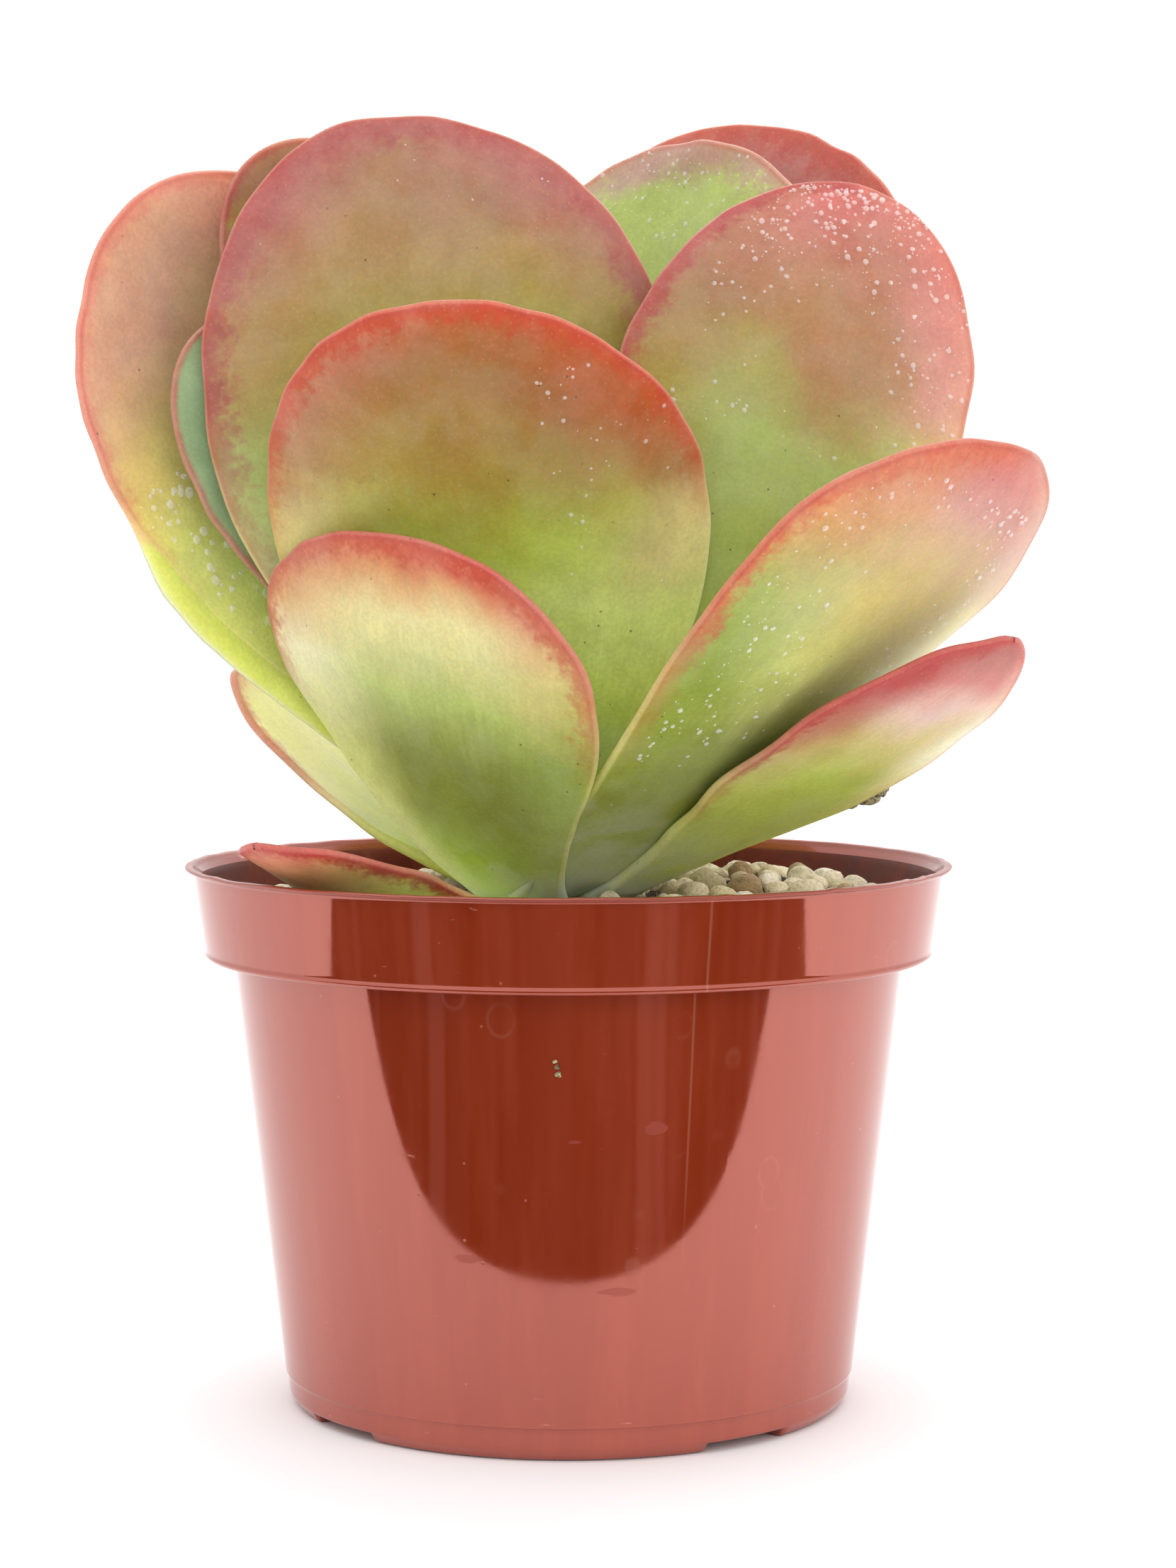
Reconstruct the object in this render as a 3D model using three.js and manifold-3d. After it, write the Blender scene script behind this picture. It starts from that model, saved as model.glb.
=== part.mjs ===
// A potted paddle plant: a rosette of thick, flat, round-ended leaves on a short stem, growing in a
// round plastic nursery pot. Millimetres, +Z up. The model is drawn around the pot's axis, standing
// on z = 0, and is then shifted so that the origin is under the middle of the whole plant.
import * as THREE from 'three';
import { mergeVertices } from 'three/addons/utils/BufferGeometryUtils.js';
import Module from 'manifold-3d';

const wasm = await Module();
wasm.setup();

// ---------------------------------------------------------------- driving dimensions

const GAP = 0.3;                  // clearance between neighbouring pieces

const POT_HEIGHT = 106.7;
const POT_LIP_RADIUS = 76;        // a six-inch pot, measured over the lip
const POT_WALL = 1.2;
const COLLAR_TOP_RADIUS = 74.2;
const COLLAR_BOTTOM_RADIUS = 72.1;
const COLLAR_HEIGHT = 17.8;       // lip included
const LIP_HEIGHT = 2.6;
const BODY_TOP_RADIUS = 66.6;
const BODY_BOTTOM_RADIUS = 57.1;
const CORNER_HEIGHT = 10;         // where the straight taper ends and the corner rounds in
const FOOT_RADIUS = 54.4;
const FOOT_WIDTH = 4;
const FLOOR_HEIGHT = 3;           // underside of the raised floor
const POT_FACETS = 48;
const NOTCH_COUNT = 4;            // drainage notches through the foot ring
const NOTCH_HEIGHT = 1.9;
const NOTCH_ANGLE = 20;           // degrees
const NOTCH_TURN = -52;           // degrees from +X to the first notch's middle
const DRAIN_RADIUS = 6;
const DRAIN_RING_RADIUS = 36;

const SOIL_TOP = 97;              // at the wall
const SOIL_CROWN = 1.5;           // the soil rises this much towards the stem
const SOIL_FACETS = 32;

const STEM_X = -1;                // the stem stands a little off the pot's axis
const STEM_BOTTOM = 86;
const STEM_TOP = 136;
const STEM_RADIUS = 8.5;
const STEM_TIP_RADIUS = 3;

const PEBBLE_COUNT = 20;
const PEBBLE_RADIUS = 3.2;
const PEBBLE_SPREAD = 0.9;        // largest change of radius from pebble to pebble
const PEBBLE_INNER_RING = 20;
const PEBBLE_OUTER_RING = 66;

const LEAF_THICKNESS = 5.2;
const LEAF_ROWS = 14;             // facets along a leaf
const LEAF_SIDES = 14;            // facets around a leaf's section
const SPINE_STEPS = 40;           // steps along a leaf's centre line

// Each leaf, youngest first. heading: compass direction it leans to (0 = +X, 90 = +Y). attach: height
// of its base on the stem. reach: how far from the stem's axis it starts. rise: slope above the
// horizontal at the base and at the tip. arch: extra slope halfway along. twist: turn about its own
// length. sway: sideways bend along its length. cup: how far each half curls up across its width
// (radians). neck: base width over full width. waist: where it is widest, as a share of its length.
// tip: 2 for an elliptic end, less for a pointed one, more for a blunt one. skew: how much wider the
// half on the across side is. Angles in degrees.
const LEAVES = [
  { name: 'leaf_young_left', heading: 170, attach: 122, reach: 3, rise: [72, 84], arch: 0,
    length: 52, width: 27, twist: 0, sway: 0, cup: 0.5, neck: 0.45, waist: 0.62,
    tip: 2, skew: 0, color: 0x9db06a },
  { name: 'leaf_young_right', heading: 350, attach: 121, reach: 3, rise: [70, 86], arch: 0,
    length: 58, width: 29, twist: 0, sway: 0, cup: 0.5, neck: 0.45, waist: 0.62,
    tip: 2, skew: 0, color: 0x9db06a },
  { name: 'leaf_centre_tall', heading: 231.5, attach: 110, reach: 5, rise: [60, 109.5], arch: -2.5,
    length: 149.5, width: 90, twist: 44, sway: -11, cup: 0.1, neck: 0.26, waist: 0.64,
    tip: 2.15, skew: 0, color: 0xa07860 },
  { name: 'leaf_back_green', heading: 62, attach: 110, reach: 5, rise: [56, 83], arch: 1,
    length: 155.5, width: 97.5, twist: -9, sway: 2, cup: 0.53, neck: 0.34, waist: 0.64,
    tip: 2, skew: 0.02, color: 0x9aa66c },
  { name: 'leaf_right_tall', heading: 309.5, attach: 107, reach: 6, rise: [41.5, 117.5], arch: -1.5,
    length: 156.5, width: 69, twist: -28, sway: 34.5, cup: 0.1, neck: 0.27, waist: 0.66,
    tip: 1.95, skew: -0.04, color: 0xb98074 },
  { name: 'leaf_left_inner', heading: 110, attach: 108, reach: 6, rise: [74.5, 89], arch: 1,
    length: 154.5, width: 57.5, twist: -1.5, sway: 45.5, cup: 0.66, neck: 0.26, waist: 0.7,
    tip: 2.05, skew: -0.03, color: 0xa08a74 },
  { name: 'leaf_left_green', heading: 115.5, attach: 108, reach: 5, rise: [82.5, 81.5], arch: 2.5,
    length: 131.5, width: 59, twist: -6.5, sway: 77, cup: 0.17, neck: 0.27, waist: 0.67,
    tip: 2.05, skew: 0.05, color: 0x8f9f72 },
  { name: 'leaf_front_middle', heading: 245.5, attach: 104, reach: 9, rise: [56.5, 61], arch: 2.5,
    length: 125.5, width: 88.5, twist: 17, sway: 11.5, cup: 0.58, neck: 0.35, waist: 0.61,
    tip: 2, skew: 0.01, color: 0x9c8148 },
  { name: 'leaf_back_tall', heading: 66, attach: 105, reach: 6, rise: [52, 74.5], arch: 0.5,
    length: 176, width: 94.5, twist: 2, sway: -2.5, cup: 0.38, neck: 0.3, waist: 0.69,
    tip: 2.1, skew: -0.12, color: 0xb5625c },
  { name: 'leaf_left_wide', heading: 147, attach: 102, reach: 7, rise: [48.5, 76], arch: 6,
    length: 160.5, width: 83, twist: -17.5, sway: 39, cup: 0.27, neck: 0.24, waist: 0.72,
    tip: 2.2, skew: 0.05, color: 0xc08a78 },
  { name: 'leaf_right_middle', heading: 307.5, attach: 101, reach: 8, rise: [30, 57.5], arch: -3.5,
    length: 133.5, width: 76, twist: 7, sway: 21, cup: 0.2, neck: 0.44, waist: 0.75,
    tip: 1.7, skew: -0.17, color: 0xb58a62 },
  { name: 'leaf_front_low', heading: 241, attach: 99, reach: 12, rise: [31.5, 67], arch: 6,
    length: 91.5, width: 78.5, twist: -11, sway: 7.5, cup: 0.1, neck: 0.24, waist: 0.73,
    tip: 1.85, skew: -0.09, color: 0xc9b97a },
  { name: 'leaf_back_low', heading: 72, attach: 100, reach: 9, rise: [30, 70], arch: 0,
    length: 88, width: 76, twist: 0, sway: 0, cup: 0.3, neck: 0.3, waist: 0.66,
    tip: 2, skew: 0, color: 0xc3ae72 },
  { name: 'leaf_right_low', heading: 326, attach: 100, reach: 10, rise: [26.5, 44], arch: -7.5,
    length: 105, width: 46, twist: -9, sway: -3, cup: 0.05, neck: 0.34, waist: 0.67,
    tip: 1.7, skew: -0.2, color: 0xc2a565 },
  { name: 'leaf_left_low', heading: 159, attach: 100, reach: 8, rise: [13, 61.5], arch: -0.5,
    length: 76.5, width: 45.5, twist: 13, sway: 19, cup: 0.1, neck: 0.31, waist: 0.61,
    tip: 2, skew: 0, color: 0xcfae8a },
  { name: 'leaf_left_flat', heading: 223, attach: 98, reach: 10, rise: [-5.5, 31.5], arch: 0.5,
    length: 73.5, width: 35.5, twist: 3.5, sway: 4, cup: 0.52, neck: 0.48, waist: 0.62,
    tip: 2, skew: 0.08, color: 0xb8794c },
  { name: 'leaf_back_flat', heading: 98, attach: 98, reach: 10, rise: [2, 22], arch: 0,
    length: 60, width: 32, twist: 0, sway: 0, cup: 0.45, neck: 0.5, waist: 0.62,
    tip: 2, skew: 0, color: 0xb8794c },
];

// ---------------------------------------------------------------- materials

function material(name, color, roughness) {
  const made = new THREE.MeshStandardMaterial({ color, roughness, metalness: 0 });
  made.name = name;
  return made;
}

const potPlastic = material('pot_plastic', 0xa24632, 0.25);
const soilMix = material('soil', 0x4a3a2c, 0.95);
const pumice = material('pumice', 0xcfc8a8, 0.9);
const stemSkin = material('stem', 0xa9b08a, 0.6);

// ---------------------------------------------------------------- solids and cuts

function solidOf(geometry) {
  const bare = geometry.clone();
  bare.deleteAttribute('normal');
  bare.deleteAttribute('uv');
  const merged = mergeVertices(bare, 1e-4);
  const mesh = new wasm.Mesh({
    numProp: 3,
    vertProperties: new Float32Array(merged.attributes.position.array),
    triVerts: new Uint32Array(merged.index.array),
  });
  return new wasm.Manifold(mesh);
}

function geometryOf(solid) {
  const mesh = solid.getMesh();
  const geometry = new THREE.BufferGeometry();
  geometry.setAttribute('position', new THREE.BufferAttribute(mesh.vertProperties, 3));
  geometry.setIndex(new THREE.BufferAttribute(mesh.triVerts, 1));
  geometry.computeVertexNormals();
  return geometry;
}

function largestPiece(solid) {
  const pieces = solid.decompose();
  return pieces.reduce((best, piece) => (piece.volume() > best.volume() ? piece : best));
}

function namedMesh(name, solid, skin) {
  const mesh = new THREE.Mesh(geometryOf(solid), skin);
  mesh.name = name;
  return mesh;
}

// A profile of [radius, height] points, turned about the vertical axis through x.
function turned(points, facets, x = 0) {
  const profile = points.map(([radius, height]) => new THREE.Vector2(radius, height));
  const geometry = new THREE.LatheGeometry(profile, facets);
  geometry.rotateX(Math.PI / 2);
  geometry.translate(x, 0, 0);
  return solidOf(geometry);
}

// ---------------------------------------------------------------- pot

// The body's outer radius at a height in its straight taper.
function bodyRadius(height) {
  const share = (height - CORNER_HEIGHT) / (POT_HEIGHT - COLLAR_HEIGHT - CORNER_HEIGHT);
  return THREE.MathUtils.lerp(BODY_BOTTOM_RADIUS, BODY_TOP_RADIUS, share);
}

function potOutline() {
  const collarBottom = POT_HEIGHT - COLLAR_HEIGHT;
  const lipBottom = POT_HEIGHT - LIP_HEIGHT;
  const inside = POT_WALL;
  return [
    [0, FLOOR_HEIGHT],
    [FOOT_RADIUS - FOOT_WIDTH, FLOOR_HEIGHT],
    [FOOT_RADIUS - FOOT_WIDTH, 0],
    [FOOT_RADIUS, 0],
    [FOOT_RADIUS + 1.5, 1.9],
    [BODY_BOTTOM_RADIUS - 0.5, 5.2],
    [BODY_BOTTOM_RADIUS, CORNER_HEIGHT],
    [BODY_TOP_RADIUS, collarBottom],
    [COLLAR_BOTTOM_RADIUS - 0.4, collarBottom],
    [COLLAR_BOTTOM_RADIUS, collarBottom + 0.5],
    [COLLAR_TOP_RADIUS, lipBottom],
    [POT_LIP_RADIUS - 0.4, POT_HEIGHT - 1],
    [POT_LIP_RADIUS, POT_HEIGHT - 0.5],
    [POT_LIP_RADIUS - 0.5, POT_HEIGHT],
    [POT_LIP_RADIUS - 1.4, POT_HEIGHT],
    [COLLAR_TOP_RADIUS - inside, lipBottom],
    [COLLAR_BOTTOM_RADIUS - inside, collarBottom + inside],
    [BODY_TOP_RADIUS - inside, collarBottom + inside],
    [BODY_BOTTOM_RADIUS - inside, CORNER_HEIGHT],
    [BODY_BOTTOM_RADIUS - 2.4, FLOOR_HEIGHT + 2 * inside],
    [BODY_BOTTOM_RADIUS - 4.5, FLOOR_HEIGHT + inside],
    [0, FLOOR_HEIGHT + inside],
  ];
}

// A wedge of a ring, standing on z = below, that cuts one notch through the foot.
function notchCutter(middle) {
  const half = NOTCH_ANGLE / 2;
  const from = THREE.MathUtils.degToRad(middle - half);
  const to = THREE.MathUtils.degToRad(middle + half);
  const outer = FOOT_RADIUS + 6;
  const inner = FOOT_RADIUS - FOOT_WIDTH - 2;
  const shape = new THREE.Shape();
  shape.absarc(0, 0, outer, from, to, false);
  shape.absarc(0, 0, inner, to, from, true);
  shape.closePath();
  const below = 2;
  const wedge = new THREE.ExtrudeGeometry(shape, {
    depth: NOTCH_HEIGHT + below, bevelEnabled: false, curveSegments: 4,
  });
  wedge.translate(0, 0, -below);
  return solidOf(wedge);
}

function drainCutter(x, y) {
  const cutter = new THREE.CylinderGeometry(DRAIN_RADIUS, DRAIN_RADIUS, 12, 12);
  cutter.rotateX(Math.PI / 2);
  cutter.translate(x, y, FLOOR_HEIGHT);
  return solidOf(cutter);
}

function makePot() {
  let pot = turned(potOutline(), POT_FACETS);
  pot = pot.subtract(drainCutter(0, 0));
  for (let i = 0; i < NOTCH_COUNT; i += 1) {
    const middle = NOTCH_TURN + (360 / NOTCH_COUNT) * i;
    const angle = THREE.MathUtils.degToRad(middle);
    pot = pot.subtract(notchCutter(middle));
    pot = pot.subtract(drainCutter(DRAIN_RING_RADIUS * Math.cos(angle), DRAIN_RING_RADIUS * Math.sin(angle)));
  }
  return pot;
}

// ---------------------------------------------------------------- stem

function makeStem(grow) {
  return turned([
    [0, STEM_BOTTOM - grow],
    [STEM_RADIUS - 1 + grow, STEM_BOTTOM - grow],
    [STEM_RADIUS + grow, STEM_BOTTOM + 4],
    [STEM_RADIUS + grow, SOIL_TOP + 14],
    [STEM_TIP_RADIUS + 2 + grow, STEM_TOP - 12],
    [STEM_TIP_RADIUS + grow, STEM_TOP - 2],
    [0, STEM_TOP + grow],
  ], 14, STEM_X);
}

// ---------------------------------------------------------------- leaves

// Half the leaf's width, as a share of the widest half-width, at a share u of its length.
function widthShare(u, leaf) {
  if (u < leaf.waist) {
    return leaf.neck + (1 - leaf.neck) * Math.sin((Math.PI / 2) * (u / leaf.waist)) ** 1.6;
  }
  return Math.sqrt(Math.max(0, 1 - ((u - leaf.waist) / (1 - leaf.waist)) ** leaf.tip));
}

// The leaf's centre line: position, direction along it, direction across it and its upper side.
function leafSpine(leaf) {
  const heading = THREE.MathUtils.degToRad(leaf.heading);
  const out = new THREE.Vector3(Math.cos(heading), Math.sin(heading), 0);
  const up = new THREE.Vector3(0, 0, 1);
  const place = new THREE.Vector3(STEM_X, 0, leaf.attach).addScaledVector(out, leaf.reach);
  const spine = [];
  for (let i = 0; i <= SPINE_STEPS; i += 1) {
    const u = i / SPINE_STEPS;
    const slope = THREE.MathUtils.lerp(leaf.rise[0], leaf.rise[1], u) + leaf.arch * 4 * u * (1 - u);
    const rise = THREE.MathUtils.degToRad(slope);
    const sway = THREE.MathUtils.degToRad(leaf.sway) * u;
    const twist = THREE.MathUtils.degToRad(leaf.twist) * THREE.MathUtils.smoothstep(u, 0, 0.5);
    const rising = out.clone().multiplyScalar(Math.cos(rise)).addScaledVector(up, Math.sin(rise));
    const facing = out.clone().multiplyScalar(-Math.sin(rise)).addScaledVector(up, Math.cos(rise));
    const side = facing.clone().cross(rising);
    const along = rising.clone().multiplyScalar(Math.cos(sway)).addScaledVector(side, Math.sin(sway));
    const level = rising.clone().multiplyScalar(-Math.sin(sway)).addScaledVector(side, Math.cos(sway));
    const across = level.clone().multiplyScalar(Math.cos(twist)).addScaledVector(facing, Math.sin(twist));
    const face = level.clone().multiplyScalar(-Math.sin(twist)).addScaledVector(facing, Math.cos(twist));
    if (i > 0) {
      const step = leaf.length / SPINE_STEPS / 2;
      place.addScaledVector(spine[i - 1].along, step).addScaledVector(along, step);
    }
    spine.push({ place: place.clone(), along, across, face });
  }
  return spine;
}

function spineAt(spine, u) {
  const exact = u * SPINE_STEPS;
  const i = Math.min(SPINE_STEPS - 1, Math.floor(exact));
  const mix = (key) => spine[i][key].clone().lerp(spine[i + 1][key], exact - i);
  return { place: mix('place'), along: mix('along'), across: mix('across'), face: mix('face') };
}

// Half the leaf's thickness in its middle, at a share u of its length.
function halfThickness(u) {
  const body = (LEAF_THICKNESS / 2) * THREE.MathUtils.lerp(1.3, 0.85, u);
  return body * Math.sqrt(Math.max(0, 1 - u ** 12));
}

// A leaf is a sphere with its poles at the base and the tip, flattened and bent to the leaf's shape.
// grow makes it larger all round, to cut clearance into its neighbours.
function makeLeaf(leaf, grow) {
  const spine = leafSpine(leaf);
  const geometry = new THREE.SphereGeometry(1, LEAF_SIDES, LEAF_ROWS);
  const position = geometry.attributes.position;
  const point = new THREE.Vector3();
  for (let i = 0; i < position.count; i += 1) {
    point.fromBufferAttribute(position, i);
    const u = THREE.MathUtils.clamp((1 - point.y) / 2, 0, 1);
    const ring = Math.hypot(point.x, point.z);
    const here = spineAt(spine, u);
    const half = (leaf.width / 2) * widthShare(u, leaf);
    const thick = halfThickness(u);
    const cosine = ring > 1e-6 ? point.x / ring : 0;
    const sine = ring > 1e-6 ? point.z / ring : 0;
    const lateral = (half + grow) * cosine * (1 + leaf.skew * cosine);
    const curl = leaf.cup / (leaf.width / 2);
    const bend = curl * lateral;
    const raised = (thick + grow) * sine;
    here.place
      .addScaledVector(here.along, (2 * u - 1) * grow)
      .addScaledVector(here.across, Math.sin(bend) / curl - raised * Math.sin(bend))
      .addScaledVector(here.face, (1 - Math.cos(bend)) / curl + raised * Math.cos(bend));
    position.setXYZ(i, here.place.x, here.place.y, here.place.z);
  }
  return solidOf(geometry);
}

// ---------------------------------------------------------------- pebbles

// A small repeatable random number maker.
function randomMaker(seed) {
  let state = seed;
  return () => {
    state = (Math.imul(state, 1664525) + 1013904223) >>> 0;
    return state / 4294967296;
  };
}

function soilHeight(radius) {
  const share = THREE.MathUtils.clamp(radius / PEBBLE_OUTER_RING, 0, 1);
  return SOIL_TOP + SOIL_CROWN * (1 - share * share);
}

function pebbleShape(spot, grow) {
  const geometry = new THREE.IcosahedronGeometry(1, 1);
  const position = geometry.attributes.position;
  const point = new THREE.Vector3();
  for (let i = 0; i < position.count; i += 1) {
    point.fromBufferAttribute(position, i);
    const bump = 1 + 0.12 * Math.sin(3 * point.x + spot.turn) * Math.cos(2 * point.y - spot.turn);
    point.multiplyScalar(bump);
    position.setXYZ(
      i,
      point.x * (spot.size + grow),
      point.y * (spot.size * spot.width + grow),
      point.z * (spot.size * spot.height + grow),
    );
  }
  geometry.rotateZ(spot.turn);
  geometry.translate(spot.x, spot.y, spot.z);
  return solidOf(geometry);
}

// Pebbles are scattered by the golden angle and dropped where they would touch anything else.
function scatterPebbles(taken) {
  const random = randomMaker(11);
  const golden = Math.PI * (3 - Math.sqrt(5));
  const spots = [];
  for (let i = 0; spots.length < PEBBLE_COUNT; i += 1) {
    const share = (i % 61) / 60;
    const ring = Math.sqrt(THREE.MathUtils.lerp(PEBBLE_INNER_RING ** 2, PEBBLE_OUTER_RING ** 2, share));
    const angle = i * golden;
    const size = PEBBLE_RADIUS + PEBBLE_SPREAD * (2 * random() - 1);
    const spot = {
      x: ring * Math.cos(angle),
      y: ring * Math.sin(angle),
      z: soilHeight(ring) + 0.35 * size,
      size,
      width: 0.75 + 0.25 * random(),
      height: 0.65 + 0.2 * random(),
      turn: Math.PI * random(),
    };
    const clear = spots.every((other) => (
      Math.hypot(other.x - spot.x, other.y - spot.y) > 1.15 * (other.size + spot.size) + GAP
    ));
    if (clear && taken.intersect(pebbleShape(spot, 2 * GAP)).isEmpty()) spots.push(spot);
    if (i > 600) break;
  }
  return spots;
}

// ---------------------------------------------------------------- soil

function makeSoil() {
  const collarBottom = POT_HEIGHT - COLLAR_HEIGHT;
  const clearance = POT_WALL + 2 * GAP;
  const ledge = collarBottom + POT_WALL + GAP;
  return turned([
    [0, FLOOR_HEIGHT + POT_WALL + GAP],
    [BODY_BOTTOM_RADIUS - 5 - GAP, FLOOR_HEIGHT + POT_WALL + 2 * GAP],
    [BODY_BOTTOM_RADIUS - 3 - GAP, CORNER_HEIGHT],
    [bodyRadius(collarBottom) - clearance - 0.2, ledge - 1.2],
    [bodyRadius(collarBottom) - clearance - 0.2, ledge],
    [COLLAR_BOTTOM_RADIUS - clearance - 0.2, ledge],
    [COLLAR_BOTTOM_RADIUS - clearance, SOIL_TOP],
    [PEBBLE_OUTER_RING * 0.6, soilHeight(PEBBLE_OUTER_RING * 0.6)],
    [0, SOIL_TOP + SOIL_CROWN],
  ], SOIL_FACETS);
}

// ---------------------------------------------------------------- assembly

const plant = new THREE.Group();

plant.add(namedMesh('pot', makePot(), potPlastic));
plant.add(namedMesh('stem', makeStem(0), stemSkin));

// Each leaf is cut back to clear the stem and the younger leaves inside it.
let taken = makeStem(GAP);
for (const leaf of LEAVES) {
  const blade = largestPiece(makeLeaf(leaf, 0).subtract(taken));
  plant.add(namedMesh(leaf.name, blade, material(leaf.name, leaf.color, 0.5)));
  taken = taken.add(makeLeaf(leaf, GAP));
}

const spots = scatterPebbles(taken);
spots.forEach((spot, index) => {
  const name = `pebble_${String(index + 1).padStart(2, '0')}`;
  plant.add(namedMesh(name, pebbleShape(spot, 0), pumice));
  taken = taken.add(pebbleShape(spot, GAP));
});

plant.add(namedMesh('soil', largestPiece(makeSoil().subtract(taken)), soilMix));

// The origin goes under the middle of the plant's own footprint.
const box = new THREE.Box3().setFromObject(plant);
const middle = box.getCenter(new THREE.Vector3());
plant.position.set(-middle.x, -middle.y, 0);

export default plant;
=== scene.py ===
"""A potted paddle plant: thick, waxy, red-edged leaves on a short stem, pumice grit on dark soil, and a
glossy terracotta-coloured plastic nursery pot. Shapes are drawn in millimetres around the pot's axis,
with z = 0 under the pot's foot, and are moved into the row frame, in metres, when they become objects.
"""
import math

import bmesh
import bpy
import numpy as np
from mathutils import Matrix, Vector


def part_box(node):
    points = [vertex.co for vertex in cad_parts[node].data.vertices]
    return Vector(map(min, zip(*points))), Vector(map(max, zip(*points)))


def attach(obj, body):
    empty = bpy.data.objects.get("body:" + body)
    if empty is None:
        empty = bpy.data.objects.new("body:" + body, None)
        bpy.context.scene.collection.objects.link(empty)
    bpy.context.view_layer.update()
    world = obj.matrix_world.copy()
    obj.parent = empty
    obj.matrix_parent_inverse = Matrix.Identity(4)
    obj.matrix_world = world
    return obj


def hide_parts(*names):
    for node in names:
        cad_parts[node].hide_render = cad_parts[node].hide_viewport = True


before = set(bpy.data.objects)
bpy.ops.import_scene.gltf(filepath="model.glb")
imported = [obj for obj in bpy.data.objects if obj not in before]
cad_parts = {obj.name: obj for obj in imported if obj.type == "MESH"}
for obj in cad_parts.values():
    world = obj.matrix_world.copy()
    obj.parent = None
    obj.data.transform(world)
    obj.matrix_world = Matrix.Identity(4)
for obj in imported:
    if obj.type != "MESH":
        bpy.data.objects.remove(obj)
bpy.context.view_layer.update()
pot_low, pot_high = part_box("pot")
AXIS = np.array([(pot_low.x + pot_high.x) / 2, (pot_low.y + pot_high.y) / 2, 0.0])

# ---- camera

EYE_HEIGHT = 0.1655
EYE_DISTANCE = 0.6904
EYE_SIDE = 0.0038
EYE_PITCH = 3.58                # degrees below level
LENS = 79.86


def add_camera():
    data = bpy.data.cameras.new("camera")
    data.lens = LENS
    data.sensor_width = 36
    data.sensor_fit = "AUTO"
    camera = bpy.data.objects.new("camera", data)
    camera.location = (AXIS[0] + EYE_SIDE, AXIS[1] - EYE_DISTANCE, EYE_HEIGHT)
    camera.rotation_euler = (math.radians(90 - EYE_PITCH), 0, 0)
    bpy.context.scene.collection.objects.link(camera)
    bpy.context.scene.camera = camera


add_camera()

# ---- sizes, in millimetres

POT_HEIGHT = 106.7
LIP_RADIUS = 76.0
WALL = 1.2
COLLAR_TOP = 74.2
COLLAR_BOTTOM = 72.1
COLLAR_HEIGHT = 17.8
LIP_HEIGHT = 2.6
BODY_TOP = 66.6
BODY_BOTTOM = 57.1
CORNER_HEIGHT = 10.0
FOOT_RADIUS = 54.4
FOOT_WIDTH = 4.0
FLOOR_HEIGHT = 3.0
BODY_RISE = POT_HEIGHT - COLLAR_HEIGHT - CORNER_HEIGHT
NOTCH_MIDDLES = (-52, 38, 128, 218)     # degrees from +X
NOTCH_ANGLE = 20
NOTCH_HEIGHT = 1.9
DRAIN_RADIUS = 6.0
DRAIN_RING = 36.0

SOIL_TOP = 97.0
SOIL_CROWN = 1.5
SOIL_RADIUS = 70.6
CROWN_RADIUS = 66              # the soil is domed inside this radius, and flat beyond

STEM_X = -1.0
STEM_RADIUS = 8.5
STEM_TOP = 133.0
STEM_FOOT = 88

LEAF_THICKNESS = 5.2
TIP_RIM = 0.6                   # half the thickness of a blade's margin, away from its base

# ---- colours, as sRGB

# painted light: lighter than the blades' own colour at the base, to make up for the shade where they crowd
# at the stem
BASE = 0xB0C070
MOSS = 0x8C9642
FOREST = 0x849C64
GRASS = 0x98AA40
LEAF = 0x9EB254
LIME = 0xC4D45A
SAGE = 0xAAB862
MINT = 0xBCCC72
PALE_LIME = 0xD8DC82
STRAW = 0xD8C67A
CREAM = 0xEADE9E
KHAKI = 0xB2925A
BUTTER = 0xFAF0BE
IVORY = 0xF0E9D0
OLIVE = 0xAC9842
HAZEL = 0xA67C3A
BRONZE = 0xA47238
TAN = 0xB08456
APRICOT = 0xD69E66
CLAY = 0xBC7860
SALMON = 0xD28666
CORAL = 0xCC644A
RUST = 0xB45E32
SCARLET = 0xC0482E
CRIMSON = 0xB43A34
ROSE = 0xD07870
BLUSH = 0xD69C8E
SHELL = 0xE2BCAC
MAUVE = 0xB26860
PLUM = 0xAC5456
BLOOM = 0xD6DAB4
WAX = 0xD8E0D0
JADE = 0x98B284
PEACH = 0xCA9C80
UMBER = 0xA87A5A
# painted light: a bright lime laid where a blade lies in shade, standing in for light shining through it
GLOW = 0xE2F090
RUBY = 0xB04048
DUSK = 0xBE9A8C
SPECK = 0x4A3A28


def linear(code):
    """An sRGB code as a linear RGBA colour."""
    channels = []
    for shift in (16, 8, 0):
        value = ((code >> shift) & 255) / 255
        channels.append(value / 12.92 if value <= 0.04045 else ((value + 0.055) / 1.055) ** 2.4)
    return (*channels, 1.0)
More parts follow.
